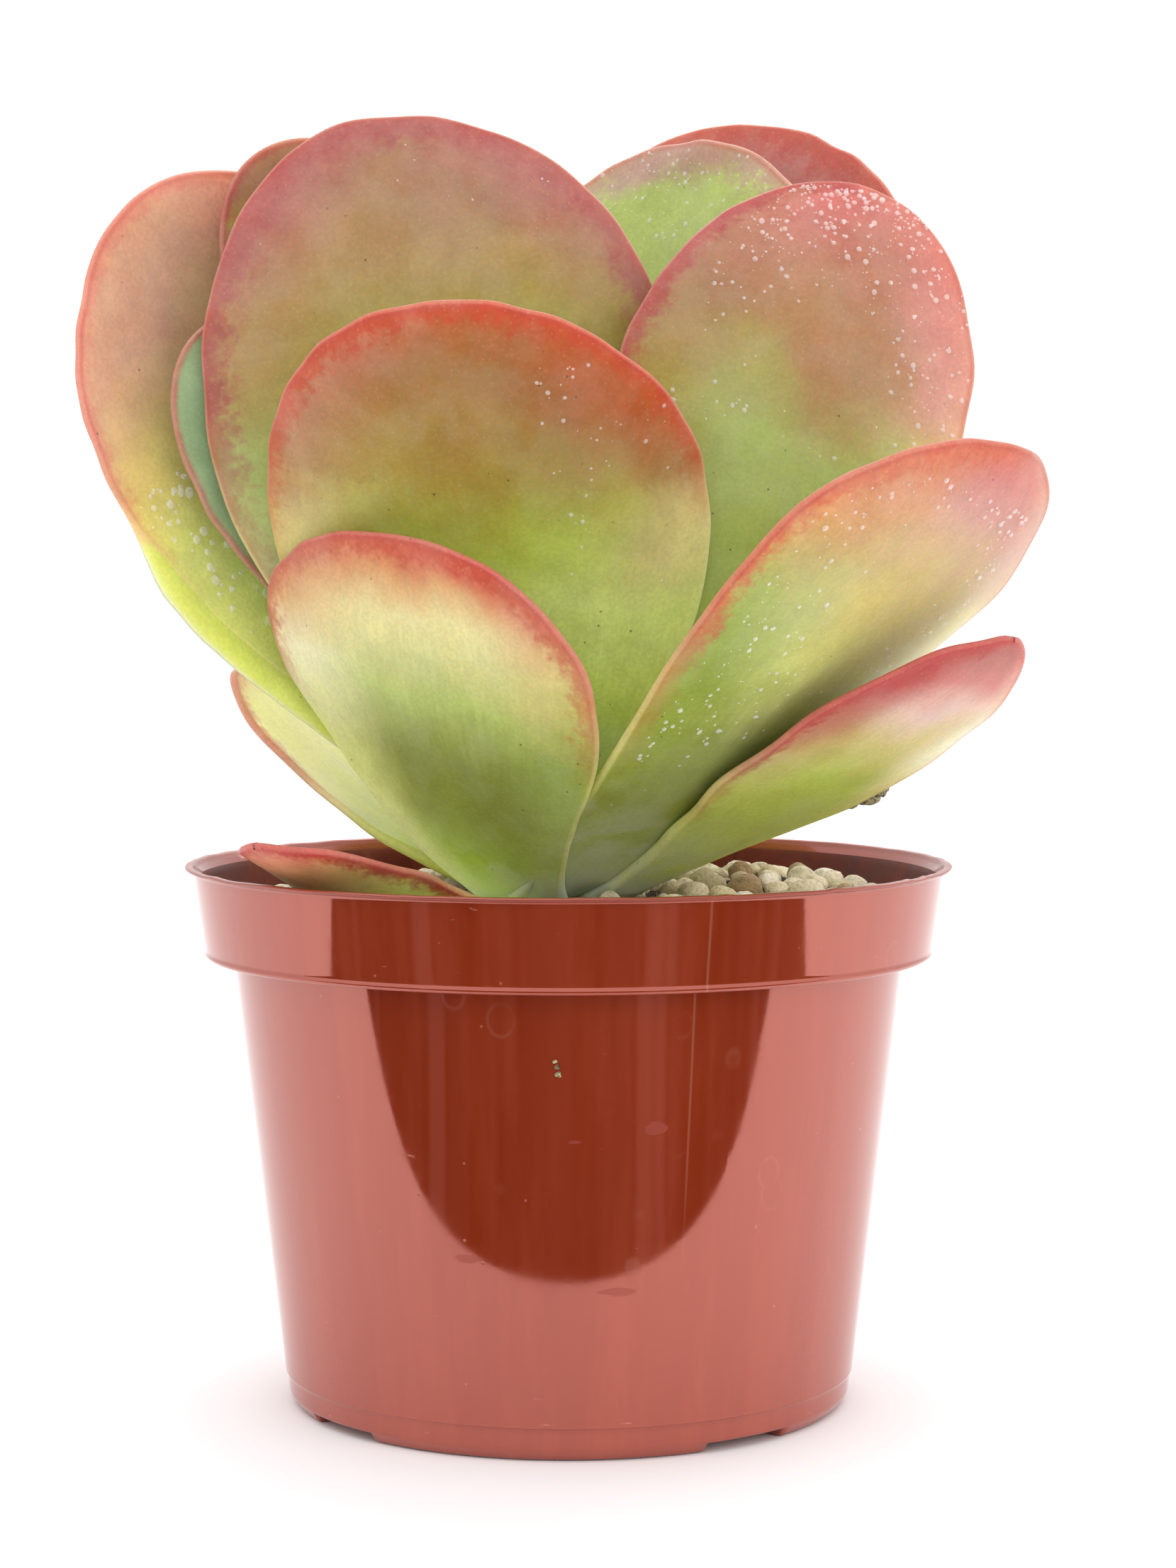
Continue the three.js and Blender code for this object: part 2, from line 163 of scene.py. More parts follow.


# ---- leaves

# heading: compass direction the leaf leans to. attach: height of its base on the stem. reach: how far
# from the stem's axis it starts. rise: slope at the base and at the tip. arch: extra slope halfway.
# twist, sway: turn about its length, and sideways bend. cup: how far each half curls up. neck: base
# width over full width. waist: share of the length where it is widest. tip: 2 for an elliptic end.
# skew: how much wider the across side is. rim: thickness of the margin near the base. wave: how much
# the blade undulates near its margin. wander: how much its outline does. skirt: how far the underside
# reaches past the upper side on the across side, and between which shares of the length. tone: painted
# shade, how dark its colour is made towards the tip, where the lamps light it most. specks: how thickly
# it is strewn with dark specks.
# middle, left, right: colours from base to tip, each with the share of the length where it sits.
# edge: colour, width and strength of the flush along the margin, the share of the length where it
# starts, and its side: -1 left, 1 right, 0 both.
LEAVES = {
    "leaf_young_left": dict(
        heading=170, attach=122, reach=3, rise=(72, 84), arch=0, length=52, width=27, twist=0,
        sway=0, cup=0.5, neck=0.45, waist=0.62, tip=2, skew=0,
        middle=((0.1, LEAF), (0.7, SAGE), (0.95, OLIVE)),
        edge=(HAZEL, 3, 0.7, 0.4, 0)),
    "leaf_young_right": dict(
        heading=350, attach=121, reach=3, rise=(70, 86), arch=0, length=58, width=29, twist=0,
        sway=0, cup=0.5, neck=0.45, waist=0.62, tip=2, skew=0,
        middle=((0.1, LEAF), (0.7, SAGE), (0.95, OLIVE)),
        edge=(HAZEL, 3, 0.7, 0.4, 0)),
    "leaf_centre_tall": dict(
        heading=231.5, attach=110, reach=5, rise=(60, 109.5), arch=-2.5, length=149.5, width=90,
        twist=44, sway=-11, cup=0.1, neck=0.26, waist=0.64, tip=2.15, skew=0, specks=0.4, tone=0.82,
        middle=((0.15, LEAF), (0.58, GRASS), (0.72, OLIVE), (0.82, KHAKI), (0.91, UMBER), (0.98, MAUVE)),
        left=((0.25, BLOOM), (0.56, SAGE), (0.7, KHAKI), (0.84, MAUVE), (0.95, MAUVE)),
        right=((0.3, GRASS), (0.66, OLIVE), (0.78, UMBER), (0.92, MAUVE)),
        edge=(PLUM, 7, 0.8, 0.45, 0)),
    "leaf_back_green": dict(
        heading=62, attach=110, reach=5, rise=(56, 83), arch=1, length=155.5, width=97.5,
        twist=-9, sway=2, cup=0.53, neck=0.34, waist=0.64, tip=2, skew=0.02, wave=1.8, wander=2.2,
        middle=((0.2, LEAF), (0.55, SAGE), (0.8, MINT), (0.94, MINT), (0.985, DUSK)),
        edge=(DUSK, 8, 0.85, 0.6, 0)),
    "leaf_right_tall": dict(
        heading=309.5, attach=107, reach=6, rise=(41.5, 117.5), arch=-1.5, length=156.5,
        width=69, twist=-28, sway=34.5, cup=0.1, neck=0.27, waist=0.66, tip=1.95, skew=-0.04, tone=0.8,
        middle=((0.3, LEAF), (0.6, SAGE), (0.72, TAN), (0.86, CLAY), (0.97, ROSE)),
        left=((0.3, LEAF), (0.6, OLIVE), (0.76, UMBER), (0.92, CLAY)),
        right=((0.4, SAGE), (0.64, STRAW), (0.76, BLUSH), (0.95, ROSE)),
        edge=(RUBY, 4.5, 0.8, 0.5, -1)),
    "leaf_left_inner": dict(
        heading=110, attach=108, reach=6, rise=(74.5, 89), arch=1, length=154.5, width=57.5,
        twist=-1.5, sway=45.5, cup=0.66, neck=0.26, waist=0.7, tip=2.05, skew=-0.03,
        middle=((0.2, LEAF), (0.55, GRASS), (0.8, MOSS), (0.94, OLIVE), (0.99, UMBER)),
        edge=(PLUM, 2.4, 0.6, 0.5, 0)),
    "leaf_left_green": dict(
        heading=115.5, attach=108, reach=5, rise=(82.5, 81.5), arch=2.5, length=131.5, width=59,
        twist=-6.5, sway=77, cup=0.17, neck=0.27, waist=0.67, tip=2.05, skew=0.05,
        middle=((0.2, LEAF), (0.5, JADE), (0.95, JADE)),
        edge=(MAUVE, 1.2, 0.6, 0.4, 0)),
    "leaf_front_middle": dict(
        heading=245.5, attach=104, reach=9, rise=(56.5, 61), arch=2.5, length=125.5, width=88.5,
        twist=17, sway=11.5, cup=0.58, neck=0.35, waist=0.61, tip=2, skew=0.01, specks=0.75, tone=0.84,
        middle=((0.1, BASE), (0.32, LIME), (0.5, GLOW), (0.6, LIME),
                (0.73, OLIVE), (0.86, BRONZE), (0.97, RUST)),
        left=((0.2, LEAF), (0.5, PALE_LIME), (0.62, STRAW), (0.72, TAN), (0.92, CLAY)),
        right=((0.2, LIME), (0.46, GLOW), (0.57, CREAM), (0.69, TAN), (0.84, RUST), (0.95, RUST)),
        edge=(SCARLET, 5, 0.85, 0.62, 0)),
    "leaf_back_tall": dict(
        heading=66, attach=105, reach=6, rise=(52, 74.5), arch=0.5, length=176, width=94.5,
        twist=2, sway=-2.5, cup=0.38, neck=0.3, waist=0.69, tip=2.1, skew=-0.12, wander=1.6,
        middle=((0.2, LEAF), (0.55, OLIVE), (0.8, CLAY), (0.93, MAUVE)),
        edge=(CRIMSON, 10, 0.6, 0.5, 0)),
    "leaf_left_wide": dict(
        heading=147, attach=102, reach=7, rise=(48.5, 76), arch=6, length=160.5, width=83,
        twist=-17.5, sway=39, cup=0.27, neck=0.24, waist=0.72, tip=2.2, skew=0.05, rim=2.0,
        skirt=(7.0, 0.15, 0.56), tone=0.94,
        middle=((0.15, GLOW), (0.52, GLOW), (0.74, STRAW), (0.88, PEACH), (0.97, PEACH)),
        left=((0.2, LIME), (0.55, LIME), (0.7, STRAW), (0.82, BLUSH), (0.96, BLUSH)),
        right=((0.2, GLOW), (0.58, PALE_LIME), (0.72, STRAW), (0.85, PEACH), (0.96, PEACH)),
        edge=(ROSE, 4, 0.6, 0.62, 0)),
    "leaf_right_middle": dict(
        heading=307.5, attach=101, reach=8, rise=(30, 57.5), arch=-3.5, length=133.5, width=76,
        twist=7, sway=21, cup=0.2, neck=0.44, waist=0.75, tip=1.7, skew=-0.17, tone=0.77,
        middle=((0.1, BASE), (0.3, MOSS), (0.46, MOSS), (0.6, PALE_LIME),
                (0.74, STRAW), (0.88, BLUSH), (0.98, ROSE)),
        left=((0.1, BASE), (0.3, MOSS), (0.54, GRASS), (0.7, SAGE), (0.84, APRICOT), (0.95, SALMON)),
        right=((0.1, BASE), (0.36, PALE_LIME), (0.5, BUTTER), (0.7, BUTTER), (0.84, SHELL), (0.96, BLUSH)),
        edge=(CORAL, 5, 0.85, 0.45, -1)),
    "leaf_front_low": dict(
        heading=241, attach=99, reach=12, rise=(31.5, 67), arch=6, length=91.5, width=78.5,
        twist=-11, sway=7.5, cup=0.1, neck=0.24, waist=0.73, tip=1.85, skew=-0.09, specks=0.5, tone=0.84,
        middle=((0.08, BASE), (0.24, LEAF), (0.36, MOSS), (0.48, MOSS),
                (0.64, MINT), (0.82, CREAM), (0.92, APRICOT), (0.98, CORAL)),
        left=((0.12, BLOOM), (0.46, PALE_LIME), (0.68, BUTTER), (0.84, APRICOT), (0.95, SALMON)),
        right=((0.12, BASE), (0.56, LEAF), (0.74, STRAW), (0.86, SALMON), (0.95, CORAL)),
        edge=(SCARLET, 5, 0.75, 0.56, 0)),
    "leaf_back_low": dict(
        heading=72, attach=100, reach=9, rise=(30, 70), arch=0, length=88, width=76, twist=0,
        sway=0, cup=0.3, neck=0.3, waist=0.66, tip=2, skew=0,
        middle=((0.2, LEAF), (0.6, SAGE), (0.85, STRAW), (0.97, SALMON)),
        edge=(CORAL, 7, 0.85, 0.5, 0)),
    "leaf_right_low": dict(
        heading=326, attach=100, reach=10, rise=(26.5, 44), arch=-7.5, length=105, width=46,
        twist=-9, sway=-3, cup=0.05, neck=0.34, waist=0.67, tip=1.7, skew=-0.2, wander=1.7, tone=0.82,
        middle=((0.08, BASE), (0.36, LIME), (0.58, LIME), (0.72, STRAW),
                (0.8, SHELL), (0.88, ROSE), (0.96, MAUVE)),
        left=((0.08, BASE), (0.44, LIME), (0.6, STRAW), (0.7, CLAY), (0.84, CRIMSON), (0.95, CRIMSON)),
        right=((0.1, BASE), (0.4, LIME), (0.62, CREAM), (0.74, IVORY), (0.84, SHELL), (0.96, ROSE)),
        edge=(CRIMSON, 3.5, 0.8, 0.42, -1)),
    "leaf_left_low": dict(
        heading=159, attach=100, reach=8, rise=(15, 62), arch=-0.5, length=76.5, width=56,
        twist=5, sway=19, cup=0.1, neck=0.31, waist=0.61, tip=2, skew=-0.38,
        middle=((0.2, LIME), (0.45, PALE_LIME), (0.66, BUTTER), (0.88, BUTTER), (0.97, SHELL)),
        edge=(ROSE, 3.5, 0.7, 0.6, 0)),
    "leaf_left_flat": dict(
        heading=223, attach=98, reach=10, rise=(-5.5, 31.5), arch=0.5, length=73.5, width=35.5,
        twist=3.5, sway=4, cup=0.52, neck=0.48, waist=0.62, tip=2, skew=0.08, rim=1.0,
        middle=((0.2, LIME), (0.58, GLOW), (0.76, STRAW), (0.95, SALMON)),
        edge=(CRIMSON, 3.6, 0.9, 0.2, 0)),
    "leaf_back_flat": dict(
        heading=98, attach=98, reach=10, rise=(2, 22), arch=0, length=60, width=32, twist=0,
        sway=0, cup=0.45, neck=0.5, waist=0.62, tip=2, skew=0,
        middle=((0.2, LIME), (0.6, LIME), (0.78, OLIVE), (0.95, CORAL)),
        edge=(CRIMSON, 4.5, 0.95, 0.2, 0)),
}

SPINE_STEPS = 60
BODY_ROWS = 34              # rows of the blade below its widest place
HEAD_ROWS = 26              # rows of the rounded end
COLUMNS = 44
RIM_RINGS = 5


def smooth_step(value, low, high):
    share = np.clip((value - low) / (high - low), 0, 1)
    return share * share * (3 - 2 * share)


def waves(points, seed, length):
    """A smooth random field over points, about -1 to 1, that changes over this length."""
    random = np.random.default_rng(seed)
    total = np.zeros(len(points))
    for _ in range(6):
        direction = random.normal(size=points.shape[1])
        direction /= np.linalg.norm(direction)
        turns = 2 * math.pi / (length * random.uniform(0.7, 1.5))
        total += np.sin(points @ direction * turns + random.uniform(0, 2 * math.pi))
    return total / 3


def leaf_spine(leaf):
    """Place, along, across and face at even steps along a leaf's centre line."""
    heading = math.radians(leaf["heading"])
    out = np.array([math.cos(heading), math.sin(heading), 0.0])
    up = np.array([0.0, 0.0, 1.0])
    u = np.linspace(0, 1, SPINE_STEPS + 1)
    low, high = leaf["rise"]
    rise = np.radians(low + (high - low) * u + leaf["arch"] * 4 * u * (1 - u))[:, None]
    sway = np.radians(leaf["sway"] * u)[:, None]
    twist = np.radians(leaf["twist"] * smooth_step(u, 0, 0.5))[:, None]
    rising = out * np.cos(rise) + up * np.sin(rise)
    facing = -out * np.sin(rise) + up * np.cos(rise)
    side = np.cross(facing, rising)
    along = rising * np.cos(sway) + side * np.sin(sway)
    level = -rising * np.sin(sway) + side * np.cos(sway)
    across = level * np.cos(twist) + facing * np.sin(twist)
    face = -level * np.sin(twist) + facing * np.cos(twist)
    start = np.array([STEM_X, 0, leaf["attach"]]) + out * leaf["reach"]
    steps = (along[1:] + along[:-1]) * leaf["length"] / SPINE_STEPS / 2
    place = start + np.vstack([np.zeros(3), np.cumsum(steps, axis=0)])
    return u, place, along, across, face


def leaf_surface(leaf, u, lateral):
    """Points of the leaf's middle surface, and which way its upper side faces there."""
    shares, place, _, across, face = leaf_spine(leaf)

    def at(values):
        return np.stack([np.interp(u, shares, values[:, k]) for k in range(3)], axis=-1)

    curl = leaf["cup"] / (leaf["width"] / 2)
    bend = (curl * lateral)[:, None]
    over, beside = at(face), at(across)
    points = at(place) + beside * np.sin(bend) / curl + over * (1 - np.cos(bend)) / curl
    normals = over * np.cos(bend) - beside * np.sin(bend)
    return points, normals / np.linalg.norm(normals, axis=1)[:, None]


def width_share(leaf, u):
    waist = leaf["waist"]
    below = np.sin(math.pi / 2 * np.clip(u / waist, 0, 1)) ** 1.6
    beyond = np.clip((u - waist) / (1 - waist), 0, 1)
    narrow = leaf["neck"] + (1 - leaf["neck"]) * below
    return np.where(u < waist, narrow, np.sqrt(np.clip(1 - beyond ** leaf["tip"], 0, 1)))


def crowded(low, count, squeeze):
    """Steps from low to 1 that crowd together near 1, and near -1 if they start there."""
    steps = np.sin(np.linspace(low, 1, count) * math.pi / 2 * squeeze)
    return steps / math.sin(math.pi / 2 * squeeze)


def middle_half(u):
    """Half the thickness of a blade away from its margin. It is more at the base."""
    return LEAF_THICKNESS / 2 * (1.5 - 0.65 * smooth_step(u, 0, 0.7))


def swelling(margin):
    """How far the thickness has grown, at a distance from the margin."""
    return smooth_step(margin, -4, 22)


def leaf_grid(leaf):
    """The blade's grid: share of the length, and -1 to 1 across it, with no pole at the tip."""
    waist, tip = leaf["waist"], leaf["tip"]
    b = crowded(-1, COLUMNS, 0.86)
    body_u = np.repeat(np.linspace(0, waist, BODY_ROWS, endpoint=False)[:, None], COLUMNS, axis=1)
    body_v = np.repeat(b[None, :], BODY_ROWS, axis=0)
    a = crowded(0, HEAD_ROWS, 0.9)
    a, b = a[:, None], b[None, :]
    x = a * np.sqrt(1 - b * b / 2)
    y = b * np.sqrt(1 - a * a / 2)
    head_v = y / np.sqrt(np.clip(1 - x * x, 1e-9, None))
    head_u = waist + (1 - waist) * x
    head_share = np.sqrt(np.clip(1 - x ** tip, 0, 1))
    u = np.vstack([body_u, head_u])
    v = np.clip(np.vstack([body_v, head_v]), -1, 1)
    share = np.vstack([width_share(leaf, body_u), head_share])
    return u, v, share


def loop_around(rows, columns):
    """Indices of a grid's outline, once round."""
    index = np.arange(rows * columns).reshape(rows, columns)
    return np.concatenate([index[0, :-1], index[:-1, -1], index[-1, :0:-1], index[:0:-1, 0]])


def distance_to_line(points, line):
    """How far each point is from a closed line, both in the plane."""
    start = line[None, :, :]
    step = (np.roll(line, -1, axis=0) - line)[None, :, :]
    offset = points[:, None, :] - start
    share = (offset * step).sum(-1) / np.clip((step * step).sum(-1), 1e-12, None)
    gap = offset - np.clip(share, 0, 1)[..., None] * step
    return np.sqrt((gap * gap).sum(-1)).min(axis=1)


def grid_faces(rows, columns, first=0):
    index = first + np.arange(rows * columns).reshape(rows, columns)
    corners = [index[:-1, :-1], index[:-1, 1:], index[1:, 1:], index[1:, :-1]]
    return np.stack(corners, axis=-1).reshape(-1, 4)


def make_object(name, points, faces, attributes=None, bodies=True):
    """A smooth mesh object from millimetre points around the pot's axis."""
    mesh = bpy.data.meshes.new(name)
    metres = np.asarray(points) / 1000 + AXIS
    mesh.from_pydata(metres.tolist(), [], [list(map(int, face)) for face in faces])
    mesh.shade_smooth()
    for key, values in (attributes or {}).items():
        layer = mesh.attributes.new(key, "FLOAT", "POINT")
        layer.data.foreach_set("value", np.asarray(values, dtype=np.float32))
    mesh.update()
    made = bpy.data.objects.new(name, mesh)
    bpy.context.scene.collection.objects.link(made)
    if bodies:
        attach(made, "root")
    return made


def leaf_mesh(name, leaf):
    """A thick blade: two sheets joined round a rounded margin."""
    seed = sum(ord(letter) * (place + 1) for place, letter in enumerate(name))
    u, v, share = leaf_grid(leaf)
    rows, columns = u.shape
    u, v, share = u.ravel(), v.ravel(), share.ravel()
    base_rim = leaf.get("rim", 1.25)
    rim = base_rim + (TIP_RIM - base_rim) * smooth_step(u, 0.05, 0.62)
    half = leaf["width"] / 2
    lateral = (half * share - rim * np.abs(v) ** 3) * v * (1 + leaf["skew"] * v)
    u_true = u * (1 - TIP_RIM / leaf["length"])

    # no blade is regular: its outline and its surface wander a little
    flat = np.stack([u_true * leaf["length"], lateral], axis=1)
    held = smooth_step(u, 0.1, 0.5)
    wander = leaf.get("wander", 1)
    flat[:, 0] += held * (0.5 * waves(flat, seed, 55) + 0.2 * wander * waves(flat, seed + 1, 13))
    flat[:, 1] += held * (0.6 * waves(flat, seed + 2, 60) + 0.22 * wander * waves(flat, seed + 3, 14))
    u_flat = np.clip(flat[:, 0] / leaf["length"], 0, 1)
    points, normals = leaf_surface(leaf, u_flat, flat[:, 1])
    loop = loop_around(rows, columns)
    margin = distance_to_line(flat, flat[loop])
    sway = 0.6 * waves(flat, seed + 4, 70)
    ruffle = leaf.get("wave", 0.35) * np.exp(-margin / 9) * waves(flat, seed + 5, 22)
    lift = normals * (held * (sway + ruffle))[:, None]
    points = points + lift

    # the underside may reach out further than the upper side
    skirt, skirt_low, skirt_high = leaf.get("skirt", (0, 0, 0))
    shelf = skirt * smooth_step(u, skirt_low - 0.12, skirt_low) * np.clip(v, 0, 1) ** 4
    shelf = shelf * (1 - smooth_step(u, skirt_high, skirt_high + 0.14))
    under, under_normals = leaf_surface(leaf, u_flat, flat[:, 1] + shelf)
    under = under + lift

    thick = rim + (np.maximum(middle_half(u), rim) - rim) * swelling(margin)
    top = points + normals * thick[:, None]
    bottom = under - under_normals * thick[:, None]

    edge, up = points[loop], normals[loop]
    tangent = np.roll(edge, -1, axis=0) - np.roll(edge, 1, axis=0)
    outward = np.cross(tangent, up)
    outward /= np.linalg.norm(outward, axis=1)[:, None]
    if np.mean(((edge - points.mean(axis=0)) * outward).sum(axis=1)) < 0:
        outward = -outward
    rings = []
    for k in range(1, RIM_RINGS + 1):
        angle = math.pi / 2 - math.pi * k / (RIM_RINGS + 1)
        ring = edge + (outward * math.cos(angle) + up * math.sin(angle)) * rim[loop][:, None]
        rings.append(ring + (under[loop] - edge) * k / (RIM_RINGS + 1))

    count = rows * columns
    faces = [grid_faces(rows, columns), grid_faces(rows, columns, count)[:, ::-1]]
    loops = [loop] + [2 * count + k * len(loop) + np.arange(len(loop)) for k in range(RIM_RINGS)]
    loops.append(loop + count)
    for near, far in zip(loops, loops[1:]):
        quads = [near, far, np.roll(far, -1), np.roll(near, -1)]
        faces.append(np.stack(quads, axis=1))
    values = {
        "along": np.concatenate([u, u] + [u[loop]] * RIM_RINGS),
        "across": np.concatenate([v, v] + [v[loop]] * RIM_RINGS),
        "margin": np.concatenate([margin + 0.6, margin + 0.6 - shelf] + [0.3 - shelf[loop]] * RIM_RINGS),
    }
    made = make_object(name + "_blade", np.vstack([top, bottom] + rings), np.vstack(faces), values)
    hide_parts(name)
    return made


# ---- material helpers


def connect(tree, socket, value):
    if isinstance(value, bpy.types.NodeSocket):
        tree.links.new(value, socket)
    else:
        socket.default_value = value


def new_material(name):
    material = bpy.data.materials.new(name)
    material.use_nodes = True
    shader = material.node_tree.nodes["Principled BSDF"]
    return material, material.node_tree, shader


def maths(tree, operation, first, second=0.0, third=0.0):
    node = tree.nodes.new("ShaderNodeMath")
    node.operation = operation
    connect(tree, node.inputs[0], first)
    connect(tree, node.inputs[1], second)
    connect(tree, node.inputs[2], third)
    return node.outputs[0]


def times(tree, first, second):
    return maths(tree, "MULTIPLY", first, second)


def scale_add(tree, value, factor, more):
    """The value times the factor, and then more added."""
    return maths(tree, "MULTIPLY_ADD", value, factor, more)


def ease(tree, value, low, high, to_low=0.0, to_high=1.0):
    """A smooth change from to_low to to_high while value goes from low to high."""
    node = tree.nodes.new("ShaderNodeMapRange")
    node.interpolation_type = "SMOOTHSTEP"
    connect(tree, node.inputs["Value"], value)
    node.inputs["From Min"].default_value = low
    node.inputs["From Max"].default_value = high
    node.inputs["To Min"].default_value = to_low
    node.inputs["To Max"].default_value = to_high
    return node.outputs["Result"]


def attribute(tree, name):
    node = tree.nodes.new("ShaderNodeAttribute")
    node.attribute_name = name
    return node.outputs["Fac"]


def position(tree, stretch=(1, 1, 1)):
    """Object coordinates, in metres, stretched along each axis."""
    node = tree.nodes.new("ShaderNodeTexCoord")
    mapping = tree.nodes.new("ShaderNodeMapping")
    mapping.inputs["Scale"].default_value = stretch
    tree.links.new(node.outputs["Object"], mapping.inputs["Vector"])
    return mapping.outputs["Vector"]


def noise(tree, vector, scale, detail=3.0, roughness=0.55):
    node = tree.nodes.new("ShaderNodeTexNoise")
    connect(tree, node.inputs["Vector"], vector)
    node.inputs["Scale"].default_value = scale
    node.inputs["Detail"].default_value = detail
    node.inputs["Roughness"].default_value = roughness
    return node.outputs["Fac"]


def cells(tree, vector, scale):
    """Distance to the nearest of many scattered points, and that point's own random number."""
    node = tree.nodes.new("ShaderNodeTexVoronoi")
    connect(tree, node.inputs["Vector"], vector)
    node.inputs["Scale"].default_value = scale
    split = tree.nodes.new("ShaderNodeSeparateColor")
    tree.links.new(node.outputs["Color"], split.inputs["Color"])
    return node.outputs["Distance"], split.outputs["Red"]


def ramp(tree, value, stops):
    node = tree.nodes.new("ShaderNodeValToRGB")
    elements = node.color_ramp.elements
    elements.remove(elements[1])
    elements[0].position = stops[0][0]
    elements[0].color = linear(stops[0][1])
    for place, code in stops[1:]:
        element = elements.new(place)
        element.color = linear(code)
    connect(tree, node.inputs["Fac"], value)
    return node.outputs["Color"]


def blend(tree, share, first, second, kind="MIX"):
    node = tree.nodes.new("ShaderNodeMix")
    node.data_type = "RGBA"
    node.blend_type = kind
    connect(tree, node.inputs["Factor"], share)
    connect(tree, node.inputs[6], first)
    connect(tree, node.inputs[7], second)
    return node.outputs[2]


def bump(tree, shader, height, depth, strength=1.0):
    node = tree.nodes.new("ShaderNodeBump")
    node.inputs["Strength"].default_value = strength
    node.inputs["Distance"].default_value = depth
    connect(tree, node.inputs["Height"], height)
    tree.links.new(node.outputs["Normal"], shader.inputs["Normal"])


def finish_skin(tree, shader, colour, rough):
    connect(tree, shader.inputs["Base Color"], colour)
    connect(tree, shader.inputs["Roughness"], rough)


def vector_of(tree, x, y, z=0.0):
    node = tree.nodes.new("ShaderNodeCombineXYZ")
    connect(tree, node.inputs["X"], x)
    connect(tree, node.inputs["Y"], y)
    connect(tree, node.inputs["Z"], z)
    return node.outputs["Vector"]


# ---- leaf skin


def leaf_skin(name, leaf):
    material, tree, shader = new_material(name)
    spot = position(tree)
    along, across, margin = (attribute(tree, key) for key in ("along", "across", "margin"))
    patches = noise(tree, spot, 34, 3)
    mottle = noise(tree, spot, 170, 5, 0.65)
    flecks = noise(tree, spot, 560, 2, 0.6)
    grain = noise(tree, spot, 1300, 3)

    # lengthwise fibres under the skin
    fibre_place = vector_of(tree, times(tree, across, 9.0), times(tree, along, 1.6))
    fibres = noise(tree, fibre_place, 3.2, 4, 0.6)

    # the body colour drifts along and across the blade in soft patches
    drift = scale_add(tree, patches, 0.24, maths(tree, "ADD", along, -0.12))
    drift = scale_add(tree, fibres, 0.05, maths(tree, "ADD", drift, -0.025))
    colour = ramp(tree, drift, leaf["middle"])
    lean = scale_add(tree, patches, 0.5, maths(tree, "ADD", across, -0.25))
    if "left" in leaf:
        share = ease(tree, lean, -0.28, -0.92)
        colour = blend(tree, share, colour, ramp(tree, drift, leaf["left"]))
    if "right" in leaf:
        share = ease(tree, lean, 0.28, 0.92)
        colour = blend(tree, share, colour, ramp(tree, drift, leaf["right"]))

    # red flush along the margin, broken up into small blotches
    flush, width, strength, start, side = leaf["edge"]
    ragged = scale_add(tree, maths(tree, "ADD", mottle, -0.5), 1.3 * width, margin)
    ragged = scale_add(tree, maths(tree, "ADD", patches, -0.5), 0.5 * width, ragged)
    ragged = scale_add(tree, maths(tree, "ADD", flecks, -0.5), 1.6 * width, ragged)
    near = ease(tree, ragged, 0.2 * width, 1.2 * width, strength, 0.0)
    rising = ease(tree, drift, start - 0.12, start + 0.22)
    share = times(tree, near, rising)
    if side:
        share = times(tree, share, ease(tree, across, -0.5 * side, 0.4 * side))
    colour = blend(tree, share, colour, linear(flush))

    # a deeper red hem near the tip, and a painted highlight: a thin pale line where the two faces meet
    hem = times(tree, ease(tree, margin, 0.5, 1.9, 0.5, 0.0), rising)
    colour = blend(tree, hem, colour, linear(RUBY))
    pale = ease(tree, margin, 0.2, 0.65, 1.0, 0.0)
    pale = times(tree, pale, ease(tree, along, 0.3, 0.75, 0.5, 0.15))
    line = ramp(tree, along, ((0.1, PALE_LIME), (0.5, CREAM), (0.8, SHELL)))
    colour = blend(tree, pale, colour, line)

    if "skirt" in leaf:
        colour = blend(tree, ease(tree, margin, -3.0, -0.8, 0.75, 0.0), colour, linear(LIME))

    # faint fibres, pores and blotches, and painted light: lighter at the base, darker towards the tip
    shade = ease(tree, fibres, 0.3, 0.7, 0.975, 1.02)
    shade = times(tree, shade, ease(tree, mottle, 0.3, 0.7, 0.94, 1.06))
    shade = times(tree, shade, ease(tree, grain, 0.35, 0.65, 0.95, 1.05))
    # painted light: lifted 1.3 times at the base, against the shade where the blades crowd at the stem,
    # and darkened to the leaf's tone towards the tip, where the lamps light it most
    shade = times(tree, shade, ease(tree, along, 0.08, 0.6, 1.3, leaf.get("tone", 0.86)))
    tone = tree.nodes.new("ShaderNodeHueSaturation")
    connect(tree, tone.inputs["Value"], shade)
    connect(tree, tone.inputs["Color"], colour)
    colour = tone.outputs["Color"]

    # a few dark specks, and a scatter of paler pores
    gap, chance = cells(tree, spot, 290)
    speck = ease(tree, scale_add(tree, mottle, -0.08, gap), 0.0, 0.055, 1.0, 0.0)
    chosen = maths(tree, "GREATER_THAN", chance, 1 - leaf.get("specks", 0.2))
    where = ease(tree, patches, 0.42, 0.55)
    speck = times(tree, times(tree, speck, chosen), where)
    colour = blend(tree, times(tree, speck, 0.75), colour, linear(SPECK))
    gap, chance = cells(tree, spot, 900)
    pore = ease(tree, gap, 0.1, 0.3, 0.05, 0.0)
    colour = blend(tree, pore, colour, linear(IVORY))

    # white bloom towards the base, rubbed away in places
    rubbed = ease(tree, noise(tree, spot, 75, 4, 0.6), 0.4, 0.62)
    bloom = times(tree, ease(tree, along, 0.1, 0.38, 0.5, 0.06), rubbed)
    thick_bloom = times(tree, ease(tree, along, 0.06, 0.22, 1.3, 0.0), fibres)
    bloom = maths(tree, "MAXIMUM", bloom, thick_bloom)
    colour = blend(tree, bloom, colour, linear(WAX))

